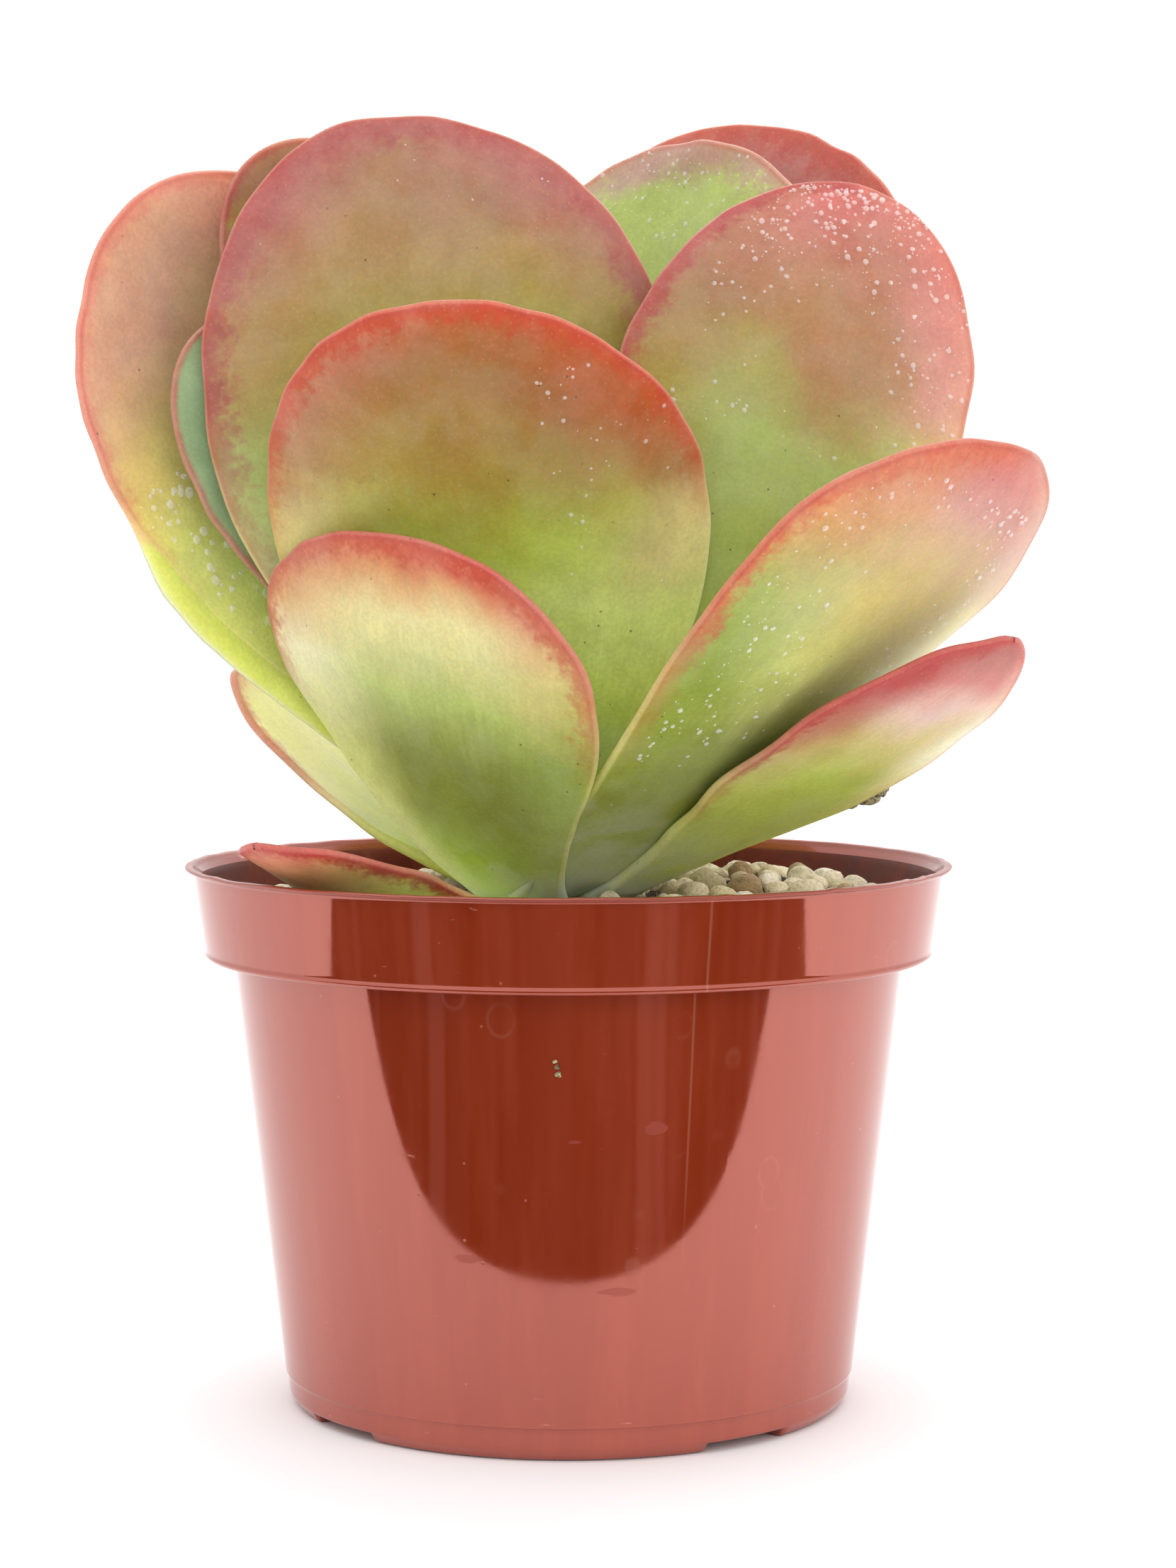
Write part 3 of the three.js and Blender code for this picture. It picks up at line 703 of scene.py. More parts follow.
    rough = ease(tree, mottle, 0.3, 0.7, 0.36, 0.5)
    finish_skin(tree, shader, colour, scale_add(tree, bloom, 0.35, rough))
    shader.inputs["IOR"].default_value = 1.38
    shader.inputs["Subsurface Weight"].default_value = 0.6
    shader.inputs["Subsurface Radius"].default_value = (1.0, 0.9, 0.55)
    shader.inputs["Subsurface Scale"].default_value = 0.006
    height = scale_add(tree, grain, 0.35, times(tree, mottle, 0.8))
    bump(tree, shader, height, 0.0003, 0.5)
    return material


# ---- drops of water

DROP_RINGS = 4
DROP_SIDES = 12


def dome():
    """A unit dome that stands on z = 0 and tucks under at its foot."""
    points = [(0.0, 0.0, 1.0)]
    for ring in range(1, DROP_RINGS + 1):
        angle = (math.pi / 2 + 0.5) * ring / DROP_RINGS
        for side in range(DROP_SIDES):
            turn = 2 * math.pi * side / DROP_SIDES
            across = math.sin(angle)
            points.append((across * math.cos(turn), across * math.sin(turn), math.cos(angle)))
    faces = []
    for side in range(DROP_SIDES):
        after = (side + 1) % DROP_SIDES
        faces.append((0, 1 + side, 1 + after, 1 + after))
        for ring in range(DROP_RINGS - 1):
            first = 1 + ring * DROP_SIDES
            second = first + DROP_SIDES
            faces.append((first + side, second + side, second + after, first + after))
    return np.array(points), faces


def scatter_drops(name, leaf, count, spans, sizes, upper, seed):
    """Drops on one side of a leaf. spans: shares of its length and width that they cover."""
    random = np.random.default_rng(seed)
    (u_low, u_high), (v_low, v_high) = spans
    u = u_high - (u_high - u_low) * random.uniform(size=count) ** 1.3
    v = random.uniform(v_low, v_high, size=count)
    radius = sizes[0] + (sizes[1] - sizes[0]) * random.uniform(size=count) ** 2.4
    share = width_share(leaf, u)
    lateral = leaf["width"] / 2 * share * v * (1 + leaf["skew"] * v)
    foot, normal = leaf_surface(leaf, u, lateral)
    if not upper:
        normal = -normal
    reach = leaf["width"] / 2 * share * (1 - np.abs(v))
    thick = TIP_RIM + (middle_half(u) - TIP_RIM) * swelling(reach)
    side = np.cross(normal, np.array([0.2, 0.3, 1.0]))
    side /= np.linalg.norm(side, axis=1)[:, None]
    other = np.cross(normal, side)
    shape, shape_faces = dome()
    points, faces = [], []
    shape_faces = [list(dict.fromkeys(face)) for face in shape_faces]
    for k in range(count):
        scaled = shape * radius[k] * np.array([1, random.uniform(0.85, 1.25), 0.62])
        base = foot[k] + normal[k] * thick[k]
        placed = base + scaled[:, :1] * side[k] + scaled[:, 1:2] * other[k] + scaled[:, 2:] * normal[k]
        faces += [[corner + k * len(shape) for corner in face] for face in shape_faces]
        points.append(placed)
    return make_object(name, np.vstack(points), faces)


def water():
    material, tree, shader = new_material("water")
    painted_white_patches = noise(tree, position(tree), 400, 2)
    # painted light: the drops' near-white base colour, seen at low alpha, stands in for the light they
    # catch and bend
    colour = ramp(tree, painted_white_patches, ((0.3, 0xF6EDE6), (0.7, 0xFFFFFF)))
    finish_skin(tree, shader, colour, ease(tree, painted_white_patches, 0.3, 0.7, 0.02, 0.08))
    shader.inputs["IOR"].default_value = 1.5
    shader.inputs["Alpha"].default_value = 0.3
    return material


# ---- pot


def fillet(profile, steps=4):
    """Rounds the corners of a [radius, height, corner size] line."""
    rounded = []
    for k, (radius, height, size) in enumerate(profile):
        here = np.array([radius, height])
        if size <= 0 or k in (0, len(profile) - 1):
            rounded.append(here)
            continue
        before = np.array(profile[k - 1][:2]) - here
        after = np.array(profile[k + 1][:2]) - here
        start = here + before / np.linalg.norm(before) * min(size, np.linalg.norm(before) * 0.45)
        end = here + after / np.linalg.norm(after) * min(size, np.linalg.norm(after) * 0.45)
        for step in range(steps + 1):
            t = step / steps
            rounded.append((1 - t) ** 2 * start + 2 * t * (1 - t) * here + t * t * end)
    return np.array(rounded)


def wall_radius(height):
    """The body's outer radius at a height between its bottom corner and the collar."""
    return BODY_BOTTOM + (BODY_TOP - BODY_BOTTOM) * (height - CORNER_HEIGHT) / BODY_RISE


def pot_profile():
    collar = POT_HEIGHT - COLLAR_HEIGHT
    lip = POT_HEIGHT - LIP_HEIGHT
    return fillet([
        (0, FLOOR_HEIGHT, 0),
        (FOOT_RADIUS - FOOT_WIDTH, FLOOR_HEIGHT, 0.4),
        (FOOT_RADIUS - FOOT_WIDTH, 0, 0.4),
        (FOOT_RADIUS, 0, 0.6),
        (FOOT_RADIUS + 1.6, 2.2, 0.6),
        (BODY_BOTTOM - 0.9, 5.6, 0.9),
        (BODY_BOTTOM - 0.55, 6.3, 0.12),
        (BODY_BOTTOM - 0.35, 6.35, 0.12),
        (BODY_BOTTOM - 0.32, 6.9, 0.3),
        (BODY_BOTTOM, CORNER_HEIGHT, 1.5),
        (BODY_TOP, collar, 0.5),
        (COLLAR_BOTTOM - 0.3, collar - 0.1, 0.35),
        (COLLAR_BOTTOM + 0.25, collar + 0.5, 0.3),
        (COLLAR_BOTTOM + 0.05, collar + 1.4, 0.4),
        (COLLAR_TOP + 0.3, POT_HEIGHT - 0.95, 0.5),
        (LIP_RADIUS - 0.15, POT_HEIGHT - 0.6, 0.15),
        (LIP_RADIUS, POT_HEIGHT - 0.3, 0.15),
        (LIP_RADIUS - 0.3, POT_HEIGHT, 0.2),
        (LIP_RADIUS - 1.5, POT_HEIGHT, 0.3),
        (COLLAR_TOP - WALL, lip, 1.0),
        (COLLAR_BOTTOM - WALL, collar + WALL, 0.5),
        (BODY_TOP - WALL, collar + WALL, 0.5),
        (BODY_BOTTOM - WALL, CORNER_HEIGHT, 2.0),
        (BODY_BOTTOM - 3.5, FLOOR_HEIGHT + WALL, 2.0),
        (0, FLOOR_HEIGHT + WALL, 0),
    ])


def turned(profile, angles):
    """A closed surface turned about the pot's axis. Its first and last points are on the axis."""
    cosine, sine = np.cos(angles), np.sin(angles)
    rings = [np.stack([r * cosine, r * sine, np.full(len(angles), z)], axis=1) for r, z in profile[1:-1]]
    points = np.vstack([[[0, 0, profile[0][1]]], *rings, [[0, 0, profile[-1][1]]]])
    sides, last = len(angles), len(points) - 1
    faces = []
    for side in range(sides):
        after = (side + 1) % sides
        faces.append((0, 1 + after, 1 + side))
        for ring in range(len(rings) - 1):
            first = 1 + ring * sides
            second = first + sides
            faces.append((first + side, first + after, second + after, second + side))
        top = 1 + (len(rings) - 1) * sides
        faces.append((top + side, top + after, last))
    return points, faces


def notched(points):
    """Lifts the foot's underside at the drainage notches."""
    angle = np.degrees(np.arctan2(points[:, 1], points[:, 0]))
    for middle in NOTCH_MIDDLES:
        off = np.abs((angle - middle + 180) % 360 - 180)
        radius = np.hypot(points[:, 0], points[:, 1])
        inside = (off < NOTCH_ANGLE / 2) & (radius > FOOT_RADIUS - FOOT_WIDTH - 1)
        points[:, 2] = np.where(inside & (points[:, 2] < NOTCH_HEIGHT), NOTCH_HEIGHT, points[:, 2])
    return points


def cylinder(x, y, radius, low, high, sides=40):
    turns = 2 * math.pi * np.arange(sides) / sides
    ring = np.stack([x + radius * np.cos(turns), y + radius * np.sin(turns)], axis=1)
    points = np.vstack([np.c_[ring, np.full(sides, low)], np.c_[ring, np.full(sides, high)]])
    faces = [tuple(range(sides - 1, -1, -1)), tuple(range(sides, 2 * sides))]
    faces += [(k, (k + 1) % sides, sides + (k + 1) % sides, sides + k) for k in range(sides)]
    return points, faces


def cut_drains(pot):
    """Cuts the drain holes through the pot's floor."""
    centres = [(0.0, 0.0)]
    for middle in NOTCH_MIDDLES:
        angle = math.radians(middle)
        centres.append((DRAIN_RING * math.cos(angle), DRAIN_RING * math.sin(angle)))
    points, faces = [], []
    for x, y in centres:
        more, more_faces = cylinder(x, y, DRAIN_RADIUS, FLOOR_HEIGHT - 3, FLOOR_HEIGHT + 4)
        first = sum(len(group) for group in points)
        points.append(more)
        faces += [tuple(corner + first for corner in face) for face in more_faces]
    cutter = make_object("drain_cutter", np.vstack(points), faces, bodies=False)
    modifier = pot.modifiers.new("drains", "BOOLEAN")
    modifier.object = cutter
    modifier.solver = "EXACT"
    bpy.context.view_layer.objects.active = pot
    bpy.ops.object.modifier_apply(modifier="drains")
    bpy.data.objects.remove(cutter)


def make_pot():
    edges = []
    for middle in NOTCH_MIDDLES:
        for turn in (-NOTCH_ANGLE / 2, NOTCH_ANGLE / 2):
            edges += [middle + turn - 0.12, middle + turn + 0.12]
    even = np.arange(0, 360, 1.5) - 180.0
    edges = (np.array(edges) + 180) % 360 - 180
    kept = [turn for turn in even if np.min(np.abs(edges - turn)) > 0.4]
    angles = np.radians(np.sort(np.concatenate([kept, edges])))
    points, faces = turned(pot_profile(), angles)
    points = notched(points)

    # moulding flash along the lip, and a wall that is not perfectly round
    turn = np.arctan2(points[:, 1], points[:, 0])
    ring = np.stack([np.cos(turn), np.sin(turn)], axis=1) * LIP_RADIUS
    radius = np.hypot(points[:, 0], points[:, 1])
    height = smooth_step(points[:, 2], POT_HEIGHT - 1.4, POT_HEIGHT - 0.3) * (radius > LIP_RADIUS - 2)
    flash = np.clip(waves(ring, 5, 7) - 0.75, 0, 1) * 0.5 + 0.07 * waves(ring, 6, 12)
    points[:, 2] += height * np.clip(flash, -0.1, 0.35)
    outer = np.maximum(radius, 1)
    wobble = 0.12 * waves(ring, 7, 130) * smooth_step(points[:, 2], 20, POT_HEIGHT)
    points[:, :2] *= (1 + wobble / outer)[:, None]
    gap = wall_radius(points[:, 2])
    above = (points[:, 2] - POT_HEIGHT + COLLAR_HEIGHT) / COLLAR_HEIGHT
    gap = np.where(above > 0.05, COLLAR_BOTTOM + (COLLAR_TOP - COLLAR_BOTTOM) * above, gap)
    inner = (radius < gap - 0.6) & (points[:, 2] > FLOOR_HEIGHT + 0.5) & (points[:, 2] < POT_HEIGHT - 0.4)
    where = {"turn": np.degrees(turn), "rise": points[:, 2].copy(), "inner": inner.astype(float)}
    pot = make_object("nursery_pot", points, faces, where)
    cut_drains(pot)
    pot.data.materials.append(pot_plastic())
    pot.data.materials.append(pot_inside())
    values = np.zeros(len(pot.data.vertices), dtype=np.float32)
    pot.data.attributes["inner"].data.foreach_get("value", values)
    for face in pot.data.polygons:
        face.material_index = int(values[list(face.vertices)].min() > 0.5)
    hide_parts("pot")


WELD_TURN = -69.5               # degrees from +X
# smudges on the pot's front: middle in degrees, height, half-width in degrees, half-height
SMUDGES = (
    (-108.2, 38.5, 2.6, 0.9),
    (-81.2, 32.5, 3.4, 0.8),
    (-75.4, 63.3, 2.2, 1.3),
    (-88.9, 61.0, 1.6, 0.5),
)
PLASTIC = 0x7E2A11
PLASTIC_PALE = 0x963E26
PLASTIC_LIP = 0x6E2410
SMUDGE = 0x8E2C1C
DUST = 0xD8A48E


def pot_plastic():
    material, tree, shader = new_material("pot_plastic")
    spot = position(tree)
    flow = noise(tree, position(tree, (1, 1, 0.06)), 95, 4, 0.6)
    broad = noise(tree, position(tree, (1, 1, 0.15)), 26, 2)
    dust = noise(tree, spot, 60, 5, 0.7)
    grain = noise(tree, spot, 700, 3)
    colour = blend(tree, ease(tree, flow, 0.42, 0.62, 0.0, 0.3), linear(PLASTIC), linear(PLASTIC_PALE))
    colour = blend(tree, ease(tree, broad, 0.4, 0.7, 0.0, 0.2), colour, linear(PLASTIC_PALE))

    # dried water marks, dust motes and short pale scuffs
    gap, chance = cells(tree, position(tree, (1, 1, 0.8)), 120)
    ring = maths(tree, "SUBTRACT", ease(tree, gap, 0.24, 0.29), ease(tree, gap, 0.3, 0.36))
    ring = times(tree, ring, maths(tree, "GREATER_THAN", chance, 0.8))
    ring = times(tree, ring, ease(tree, dust, 0.4, 0.6))
    gap, chance = cells(tree, spot, 260)
    chosen = maths(tree, "GREATER_THAN", chance, 0.8)
    mote = times(tree, ease(tree, gap, 0.03, 0.1, 1.0, 0.0), chosen)
    scratch = noise(tree, position(tree, (1, 1, 5.0)), 130, 2)
    scuff = times(tree, ease(tree, scratch, 0.72, 0.76), ease(tree, dust, 0.52, 0.62))
    marks = maths(tree, "MAXIMUM", times(tree, ring, 0.05), times(tree, mote, 0.22))
    marks = maths(tree, "MAXIMUM", marks, times(tree, scuff, 0.4))
    colour = blend(tree, marks, colour, linear(DUST))

    # a weld line up the front, and a few smudges
    turn, rise = attribute(tree, "turn"), attribute(tree, "rise")
    off = maths(tree, "ABSOLUTE", maths(tree, "SUBTRACT", turn, WELD_TURN))
    weld = times(tree, ease(tree, off, 0.08, 0.3, 0.13, 0.0), ease(tree, rise, 34, 62))
    colour = blend(tree, weld, colour, linear(DUST))
    smudge = 0.0
    for middle, height, wide, tall in SMUDGES:
        across = maths(tree, "DIVIDE", maths(tree, "SUBTRACT", turn, middle), wide)
        up = maths(tree, "DIVIDE", maths(tree, "SUBTRACT", rise, height), tall)
        spread = scale_add(tree, across, across, times(tree, up, up))
        spread = scale_add(tree, scratch, 3.0, maths(tree, "ADD", spread, -1.5))
        smudge = maths(tree, "MAXIMUM", smudge, ease(tree, spread, 0.5, 1.1, 1.0, 0.0))
    colour = blend(tree, times(tree, smudge, 0.5), colour, linear(SMUDGE))
    lip = ease(tree, rise, POT_HEIGHT - 1.3, POT_HEIGHT - 0.7)
    colour = blend(tree, times(tree, lip, 0.6), colour, linear(PLASTIC_LIP))

    rough = ease(tree, dust, 0.3, 0.75, 0.04, 0.1)
    rough = scale_add(tree, lip, 0.3, rough)
    rough = scale_add(tree, smudge, 0.3, rough)
    rough = scale_add(tree, marks, 0.6, rough)
    finish_skin(tree, shader, colour, rough)
    shader.inputs["IOR"].default_value = 2.05
    shader.inputs["Specular IOR Level"].default_value = 1.0
    shader.inputs["Specular Tint"].default_value = (1.0, 0.4, 0.34, 1.0)
    shader.inputs["Coat Weight"].default_value = 0.45
    shader.inputs["Coat Roughness"].default_value = 0.05
    height = scale_add(tree, grain, 0.04, times(tree, marks, -0.6))
    height = scale_add(tree, flow, 0.12, height)
    bump(tree, shader, height, 0.00012, 0.6)
    return material


def pot_inside():
    """The same plastic, darkened and dulled, in brown blotches."""
    material, tree, shader = new_material("pot_inside")
    spot = position(tree)
    dust = noise(tree, spot, 70, 5, 0.7)
    colour = ramp(tree, dust, ((0.35, 0x5C2118), (0.55, 0x7A3022), (0.72, 0x8C4A36)))
    finish_skin(tree, shader, colour, ease(tree, dust, 0.3, 0.75, 0.4, 0.6))
    shader.inputs["Specular IOR Level"].default_value = 0.35
    bump(tree, shader, dust, 0.0002, 0.5)
    return material


# ---- soil, grit and stem


def soil_height(radius):
    share = np.clip(radius / CROWN_RADIUS, 0, 1)
    return SOIL_TOP + SOIL_CROWN * (1 - share * share)


def soil_bumps(x, y):
    place = np.stack([x, y], axis=1)
    return 0.8 * waves(place, 21, 16) + 0.45 * waves(place, 22, 6) + 0.25 * waves(place, 23, 3)


def make_soil():
    rings, sides = 54, 150
    angles = 2 * math.pi * np.arange(sides) / sides
    inner_low = BODY_BOTTOM - 4.2
    below = [(SOIL_RADIUS, SOIL_TOP - 5), (BODY_TOP - 2.2, 89.6), (inner_low + 2, CORNER_HEIGHT),
             (inner_low, FLOOR_HEIGHT + 1.9)]
    radii = list(np.linspace(SOIL_RADIUS / rings, SOIL_RADIUS, rings))
    profile = [(0, SOIL_TOP + SOIL_CROWN)] + [(r, soil_height(r)) for r in radii] + below
    profile.append((0, FLOOR_HEIGHT + 1.9))
    points, faces = turned(profile, angles)
    surface = np.arange(len(points)) <= rings * sides
    lift = soil_bumps(points[:, 0], points[:, 1]) + [heap(x, y) for x, y in points[:, :2]]
    points[:, 2] += np.where(surface, lift, 0)
    faces = [face[::-1] for face in faces]
    made = make_object("potting_soil", points, faces)
    made.data.materials.append(soil_skin())
    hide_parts("soil")


BARK = 0xA08A66


def soil_skin():
    material, tree, shader = new_material("soil")
    spot = position(tree)
    clods = noise(tree, spot, 160, 6, 0.7)
    crumbs = noise(tree, spot, 650, 4, 0.7)
    colour = ramp(tree, clods, ((0.3, 0x1E1610), (0.5, 0x3B2B1E), (0.68, 0x6A5138)))
    gap, chance = cells(tree, spot, 420)
    chosen = maths(tree, "GREATER_THAN", chance, 0.85)
    flake = times(tree, ease(tree, gap, 0.2, 0.35, 1.0, 0.0), chosen)
    colour = blend(tree, flake, colour, linear(BARK))
    finish_skin(tree, shader, colour, ease(tree, crumbs, 0.3, 0.7, 0.8, 1.0))
    height = scale_add(tree, crumbs, 0.4, clods)
    bump(tree, shader, height, 0.0022)
    return material


def icosphere(levels):
    """Points and triangles of a unit sphere."""
    ball = bmesh.new()
    bmesh.ops.create_icosphere(ball, subdivisions=levels, radius=1)
    points = np.array([corner.co[:] for corner in ball.verts])
    faces = np.array([[corner.index for corner in face.verts] for face in ball.faces])
    ball.free()
    return points, faces


GRIT_COUNT = 520
GRIT_SEED = 4
GRIT_TRIES = 14000
COARSE_TRIES = 6000
COARSE_GRIT = (1.9, 2.4)        # smallest radius, and the most that is added to it
FINE_GRIT = (0.7, 1.0)
GRIT_STAIN = 0x7D6E4C
PIT_SHADE = 0x5E5138
HEAP_HEIGHT = 3.4
HEAP_PLACE = (40, 24)
HEAP_SPREAD = 19


def grit_spots(avoid):
    """Places and radii of stones on the soil, clear of each other, the stem and the low leaves."""
    random = np.random.default_rng(GRIT_SEED)
    spots = []
    for name in sorted(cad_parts):
        if name.startswith("pebble"):
            low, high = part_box(name)
            x, y = (((low[k] + high[k]) / 2 - AXIS[k]) * 1000 for k in range(2))
            spots.append((x, y, (high.x - low.x) * 500))
    tries = 0
    while len(spots) < GRIT_COUNT and tries < GRIT_TRIES:
        tries += 1
        size = COARSE_GRIT[0] + COARSE_GRIT[1] * random.uniform() ** 1.3
        if tries > COARSE_TRIES:
            size = FINE_GRIT[0] + FINE_GRIT[1] * random.uniform()
        ring = math.sqrt(random.uniform(0.02, 1)) * (SOIL_RADIUS - 1.2 - size)
        turn = random.uniform(0, 2 * math.pi)
        x, y = ring * math.cos(turn), ring * math.sin(turn)
        others = np.array(spots)
        gaps = np.hypot(others[:, 0] - x, others[:, 1] - y) - 0.9 * (others[:, 2] + size)
        if gaps.min() < 0 or math.hypot(x - STEM_X, y) < STEM_RADIUS + size:
            continue
        place = np.array([x, y, soil_height(ring) + 0.4 * size])
        if np.linalg.norm(avoid - place, axis=1).min() < size + 2.4:
            continue
        spots.append((x, y, size))
    return spots


def heap(x, y):
    """How much the grit is heaped up to the right of the leaves."""
    off_x, off_y = x - HEAP_PLACE[0], y - HEAP_PLACE[1]
    return HEAP_HEIGHT * math.exp(-(off_x ** 2 + off_y ** 2) / HEAP_SPREAD ** 2)


def make_grit(avoid):
    random = np.random.default_rng(GRIT_SEED + 1)
    sphere, triangles = icosphere(3)
    points, faces, tones = [], [], []
    for number, (x, y, size) in enumerate(grit_spots(avoid)):
        flatten = np.array([1, random.uniform(0.72, 1), random.uniform(0.6, 0.85)])
        lumps = 1 + 0.11 * waves(sphere, 100 + number, 2.1) + 0.05 * waves(sphere, 900 + number, 0.9)
        stone = sphere * lumps[:, None] * flatten * size
        turn = random.uniform(0, 2 * math.pi)
        tilt = random.uniform(-0.4, 0.4)
        c, s = math.cos(turn), math.sin(turn)
        spin = np.array([[c, -s, 0], [s, c, 0], [0, 0, 1]])
        c, s = math.cos(tilt), math.sin(tilt)
        lean = np.array([[1, 0, 0], [0, c, -s], [0, s, c]])
        lift = soil_bumps(np.array([x]), np.array([y]))[0]
        foot = np.array([x, y, soil_height(math.hypot(x, y)) + lift + heap(x, y) + 0.4 * size])
        faces.append(triangles + number * len(sphere))
        points.append(stone @ (spin @ lean).T + foot)
        tones.append(np.full(len(sphere), random.uniform()))
    made = make_object("pumice_grit", np.vstack(points), np.vstack(faces), {"tone": np.concatenate(tones)})
    made.data.materials.append(grit_skin())
    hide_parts(*[name for name in sorted(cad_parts) if name.startswith("pebble")])


def grit_skin():
    material, tree, shader = new_material("pumice")
    spot = position(tree)
    tone = attribute(tree, "tone")
    stain = noise(tree, spot, 260, 5, 0.7)
    pits = noise(tree, spot, 1300, 3)
    colour = ramp(tree, tone, (
        (0.0, 0xB4A47C), (0.15, 0xDECCA2), (0.35, 0xF6E8CC), (0.6, 0xF0E0BC), (0.8, 0xFFF4E4),
        (0.93, 0xB0906A)))
    colour = blend(tree, ease(tree, stain, 0.45, 0.75, 0.0, 0.55), colour, linear(GRIT_STAIN))
    # painted shade: darker in the pits, where the bump dips
    colour = blend(tree, ease(tree, pits, 0.5, 0.3, 0.0, 0.35), colour, linear(PIT_SHADE))
    finish_skin(tree, shader, colour, ease(tree, pits, 0.3, 0.7, 0.8, 1.0))
    height = scale_add(tree, pits, 0.35, stain)
    bump(tree, shader, height, 0.0012)
    return material


def make_stem():
    sides = 64
    angles = 2 * math.pi * np.arange(sides) / sides
    heights = np.linspace(STEM_FOOT, STEM_TOP, 40)
    profile = [(0, STEM_FOOT - 1)]
    for height in heights:
        share = (height - STEM_FOOT) / (STEM_TOP - STEM_FOOT)
        radius = STEM_RADIUS - 0.4 - 4.5 * share ** 2.2 + 0.5 * math.sin(height * 0.7)
        profile.append((radius, height))
    profile.append((0, STEM_TOP + 1))
    points, faces = turned(profile, angles)
    points[:, :2] *= (1 + 0.05 * waves(points, 31, 11))[:, None]
    points[:, 0] += STEM_X
    made = make_object("short_stem", points, faces)
    made.data.materials.append(stem_skin())
    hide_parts("stem")


def stem_skin():
    material, tree, shader = new_material("stem")
    spot = position(tree)
    wax = noise(tree, spot, 120, 5, 0.6)
    colour = ramp(tree, wax, ((0.35, FOREST), (0.5, 0xA9B492), (0.62, WAX)))
    finish_skin(tree, shader, colour, ease(tree, wax, 0.3, 0.7, 0.5, 0.8))
    bump(tree, shader, wax, 0.0006, 0.6)
    return material


# ---- crumbs on the pot and a leaf


def crumb_skin():
    material, tree, shader = new_material("crumb")
    stain = noise(tree, position(tree), 900, 4, 0.7)
    colour = ramp(tree, stain, ((0.4, 0x4E4A30), (0.6, 0xB8AC84)))
    finish_skin(tree, shader, colour, ease(tree, stain, 0.3, 0.7, 0.75, 1.0))
    bump(tree, shader, stain, 0.0006)
    return material


def make_crumbs():
    """Bits of soil that stuck: two on the pot's front, and a few under the lowest right leaf."""
    random = np.random.default_rng(8)
    sphere, triangles = icosphere(3)
    low = LEAVES["leaf_right_low"]
    under, _ = leaf_surface(low, np.array([0.5, 0.53, 0.47]), np.array([19.0, 19.5, 18.0]))
    wall = []
    for height, turn in ((75.0, -91.6), (73.6, -91.4), (76.0, -91.9)):
        radius = wall_radius(height) + 0.1
        wall.append((radius * math.cos(math.radians(turn)), radius * math.sin(math.radians(turn)), height))
    places = [*wall, *under]
    sizes = [0.45, 0.55, 0.35, 2.1, 1.6, 1.3]
    points, faces = [], []
    for number, (place, size) in enumerate(zip(places, sizes)):
        lumps = 1 + 0.25 * waves(sphere, 60 + number, 1.3)
        stretch = np.array([random.uniform(0.8, 1.4), 0.8, random.uniform(0.7, 1.0)])
        faces.append(triangles + number * len(sphere))
        points.append(sphere * lumps[:, None] * stretch * size + np.asarray(place))
    made = make_object("soil_crumbs", np.vstack(points), np.vstack(faces))
    made.data.materials.append(crumb_skin())


# ---- floor and light

# the table's front edge, in millimetres from the pot's axis: in the middle and at its ends
EDGE_MIDDLE = 124
EDGE_ENDS = 106
EDGE_CURVE = 110
ROOM_WIDTH = 10000
ROOM_DEPTH = 5000


def room_dimness():
    """Nearly black, with dim things standing about, so that a shiny curved wall shows upright bands."""
    material, tree, shader = new_material("dim_room")
    split = tree.nodes.new("ShaderNodeSeparateXYZ")
    tree.links.new(position(tree), split.inputs["Vector"])
    bearing = maths(tree, "ARCTAN2", split.outputs["X"], times(tree, split.outputs["Y"], -1.0))
    bands = noise(tree, vector_of(tree, bearing, 0.0), 3.4, 2, 0.5)
    colour = ramp(tree, bands, ((0.42, 0x000000), (0.5, 0x383838), (0.56, 0x141414), (0.62, 0x626262)))
    finish_skin(tree, shader, colour, 0.9)
    shader.inputs["IOR"].default_value = 1.0
    return material


def table_white():
    material, _, shader = new_material("floor")
    shader.inputs["Base Color"].default_value = (0.95, 0.95, 0.955, 1)
    shader.inputs["Roughness"].default_value = 0.9
    shader.inputs["IOR"].default_value = 1.0
    return material


def add_stage():
    """A white table, and beyond its front edge the dim room, which only shiny surfaces see."""
    half = ROOM_WIDTH * 1.5
    corners = [(-half, -half, -0.2), (half, -half, -0.2), (half, half, -0.2), (-half, half, -0.2)]
    floor = make_object("floor", corners, [(0, 1, 2, 3)], bodies=False)
    floor.data.materials.append(table_white())
    xs = [-ROOM_WIDTH, *range(-600, 601, 20), ROOM_WIDTH]
    ys = [-EDGE_ENDS - (EDGE_MIDDLE - EDGE_ENDS) * math.exp(-(x / EDGE_CURVE) ** 2) for x in xs]
    near = [(x, y, 0.8) for x, y in zip(xs, ys)]
    far = [(x, -EDGE_ENDS - ROOM_DEPTH, 0.8) for x in xs]
    count = len(xs)
    faces = [(k, count + k, count + k + 1, k + 1) for k in range(count - 1)]
    room = make_object("dim_room", near + far, faces, bodies=False)
    room.data.materials.append(room_dimness())
    for ray in ("camera", "diffuse", "shadow", "transmission", "volume_scatter"):
        setattr(room, "visible_" + ray, False)


def add_area(name, place, aim, size, power):
    data = bpy.data.lights.new(name, "AREA")
    data.shape = "SQUARE"
    data.size = size
    data.energy = power
    light = bpy.data.objects.new(name, data)
    light.location = place
    direction = np.array(aim) - np.array(place)
    fall = math.atan2(math.hypot(direction[0], direction[1]), -direction[2])
    light.rotation_euler = (fall, 0, math.atan2(-direction[0], direction[1]))
    bpy.context.scene.collection.objects.link(light)
    return light


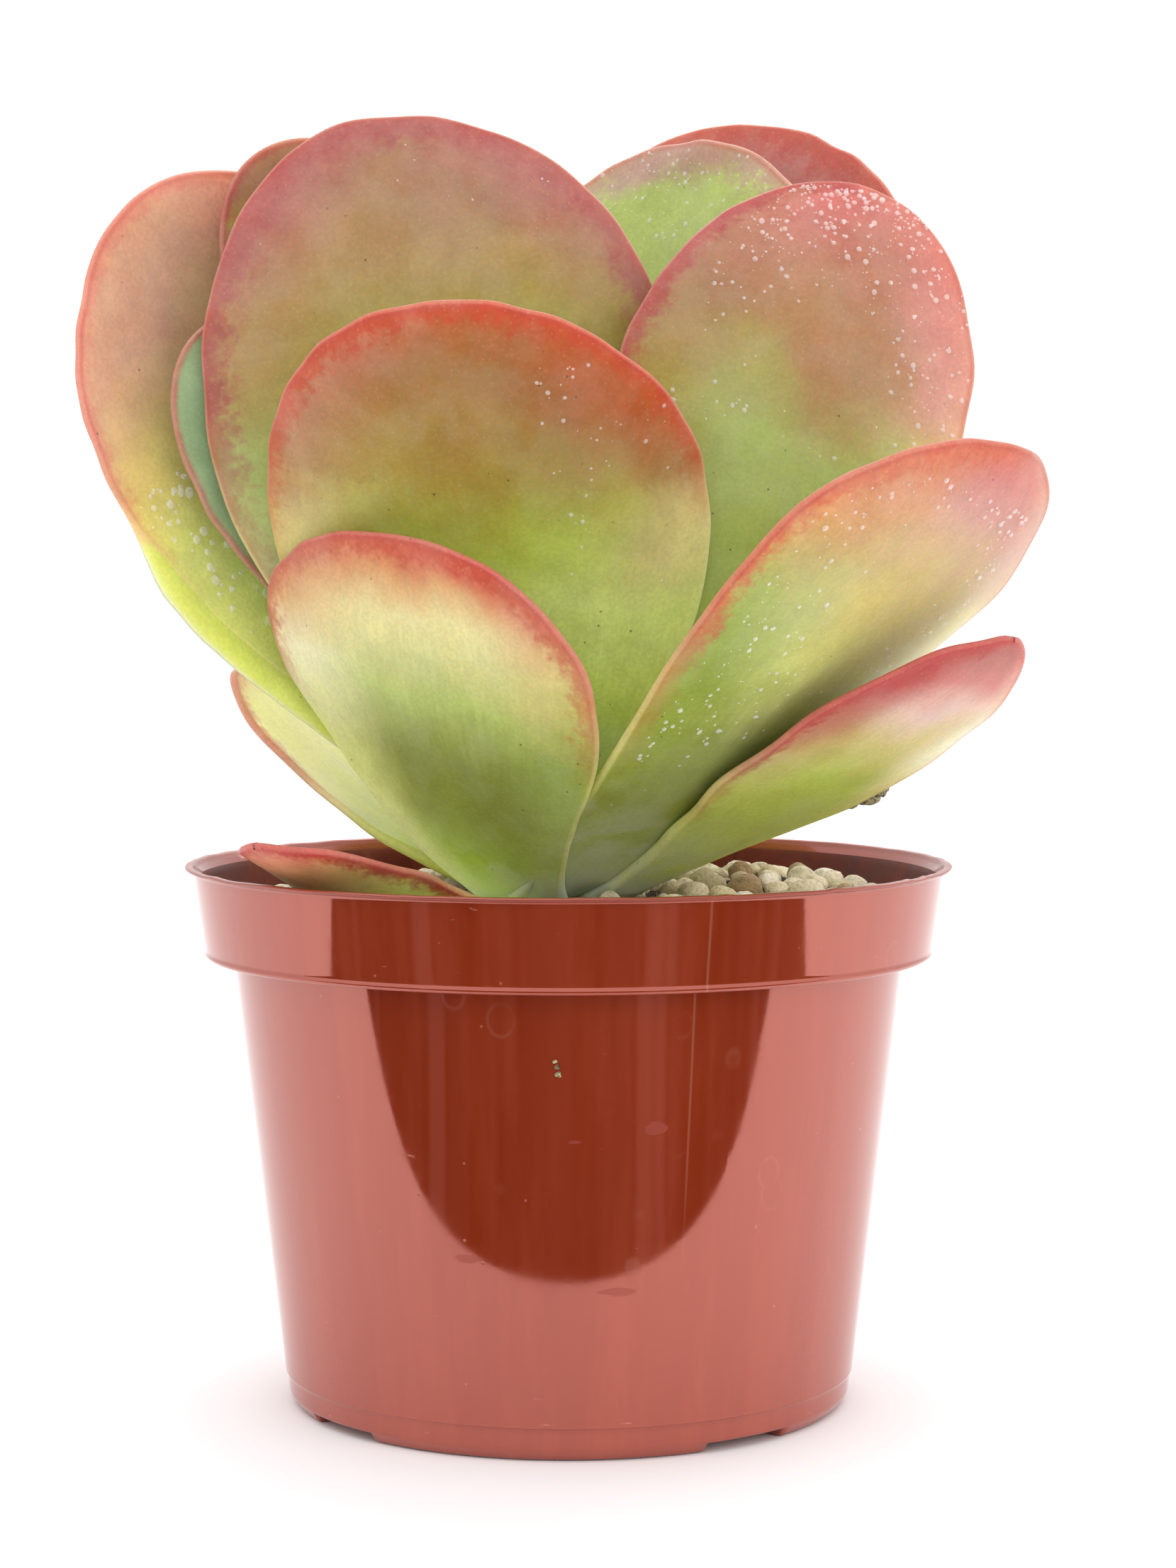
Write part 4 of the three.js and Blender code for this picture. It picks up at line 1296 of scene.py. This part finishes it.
def add_light():
    world = bpy.data.worlds.new("studio")
    world.use_nodes = True
    background = world.node_tree.nodes["Background"]
    background.inputs["Color"].default_value = (1, 1, 1, 1)
    background.inputs["Strength"].default_value = 1.06
    bpy.context.scene.world = world
    add_area("key", (-0.6, -0.5, 1.3), (0, 0, 0.15), 1.2, 3)
    add_area("back", (0.25, 0.95, 1.1), (0.1, 0.5, 0), 1.5, 8)
    soft_front = (("fill", (0.1, -1.1, 0.5), 2.6), ("fill_right", (1.0, -0.8, 0.35), 3.6))
    for name, place, power in soft_front:
        fill = add_area(name, place, (0, 0, 0.12), 0.9, power)
        fill.visible_glossy = False
    bpy.context.scene.view_settings.view_transform = "Standard"


# ---- the whole part

# name, leaf, how many, shares of the leaf's length and width, radii, and whether on its upper side
DROPS = (
    ("drops_right_tall", "leaf_right_tall", 620, ((0.6, 0.98), (-0.75, 0.95)), (0.14, 0.62), False),
    ("drops_right_middle", "leaf_right_middle", 700, ((0.28, 0.92), (-0.9, 0.5)), (0.13, 0.58), False),
    ("drops_left_wide", "leaf_left_wide", 210, ((0.22, 0.7), (0.2, 0.95)), (0.25, 1.1), True),
    ("drops_back_green", "leaf_back_green", 150, ((0.86, 0.99), (-0.9, 0.9)), (0.15, 0.6), True),
    ("drops_centre_tall", "leaf_centre_tall", 45, ((0.4, 0.95), (-0.95, 0.8)), (0.12, 0.3), False),
    ("drops_front_middle", "leaf_front_middle", 70, ((0.5, 0.9), (0.3, 0.97)), (0.12, 0.5), False),
)
LOW_LEAF_HEIGHT = 112           # stones keep clear of the leaves below this height
DROPS_SEED = 40


def build():
    low_points = []
    for name, leaf in LEAVES.items():
        made = leaf_mesh(name, leaf)
        made.data.materials.append(leaf_skin(name, leaf))
        u, v, share = leaf_grid(leaf)
        lateral = (leaf["width"] / 2 * share * v).ravel()
        surface, _ = leaf_surface(leaf, u.ravel(), lateral)
        low_points.append(surface[surface[:, 2] < LOW_LEAF_HEIGHT])
    make_stem()
    make_pot()
    make_soil()
    make_grit(np.vstack(low_points))
    make_crumbs()
    wet = water()
    for number, (name, leaf, count, spans, sizes, upper) in enumerate(DROPS):
        seed = DROPS_SEED + number
        drops = scatter_drops(name, LEAVES[leaf], count, spans, sizes, upper, seed)
        drops.data.materials.append(wet)


build()
add_stage()
add_light()
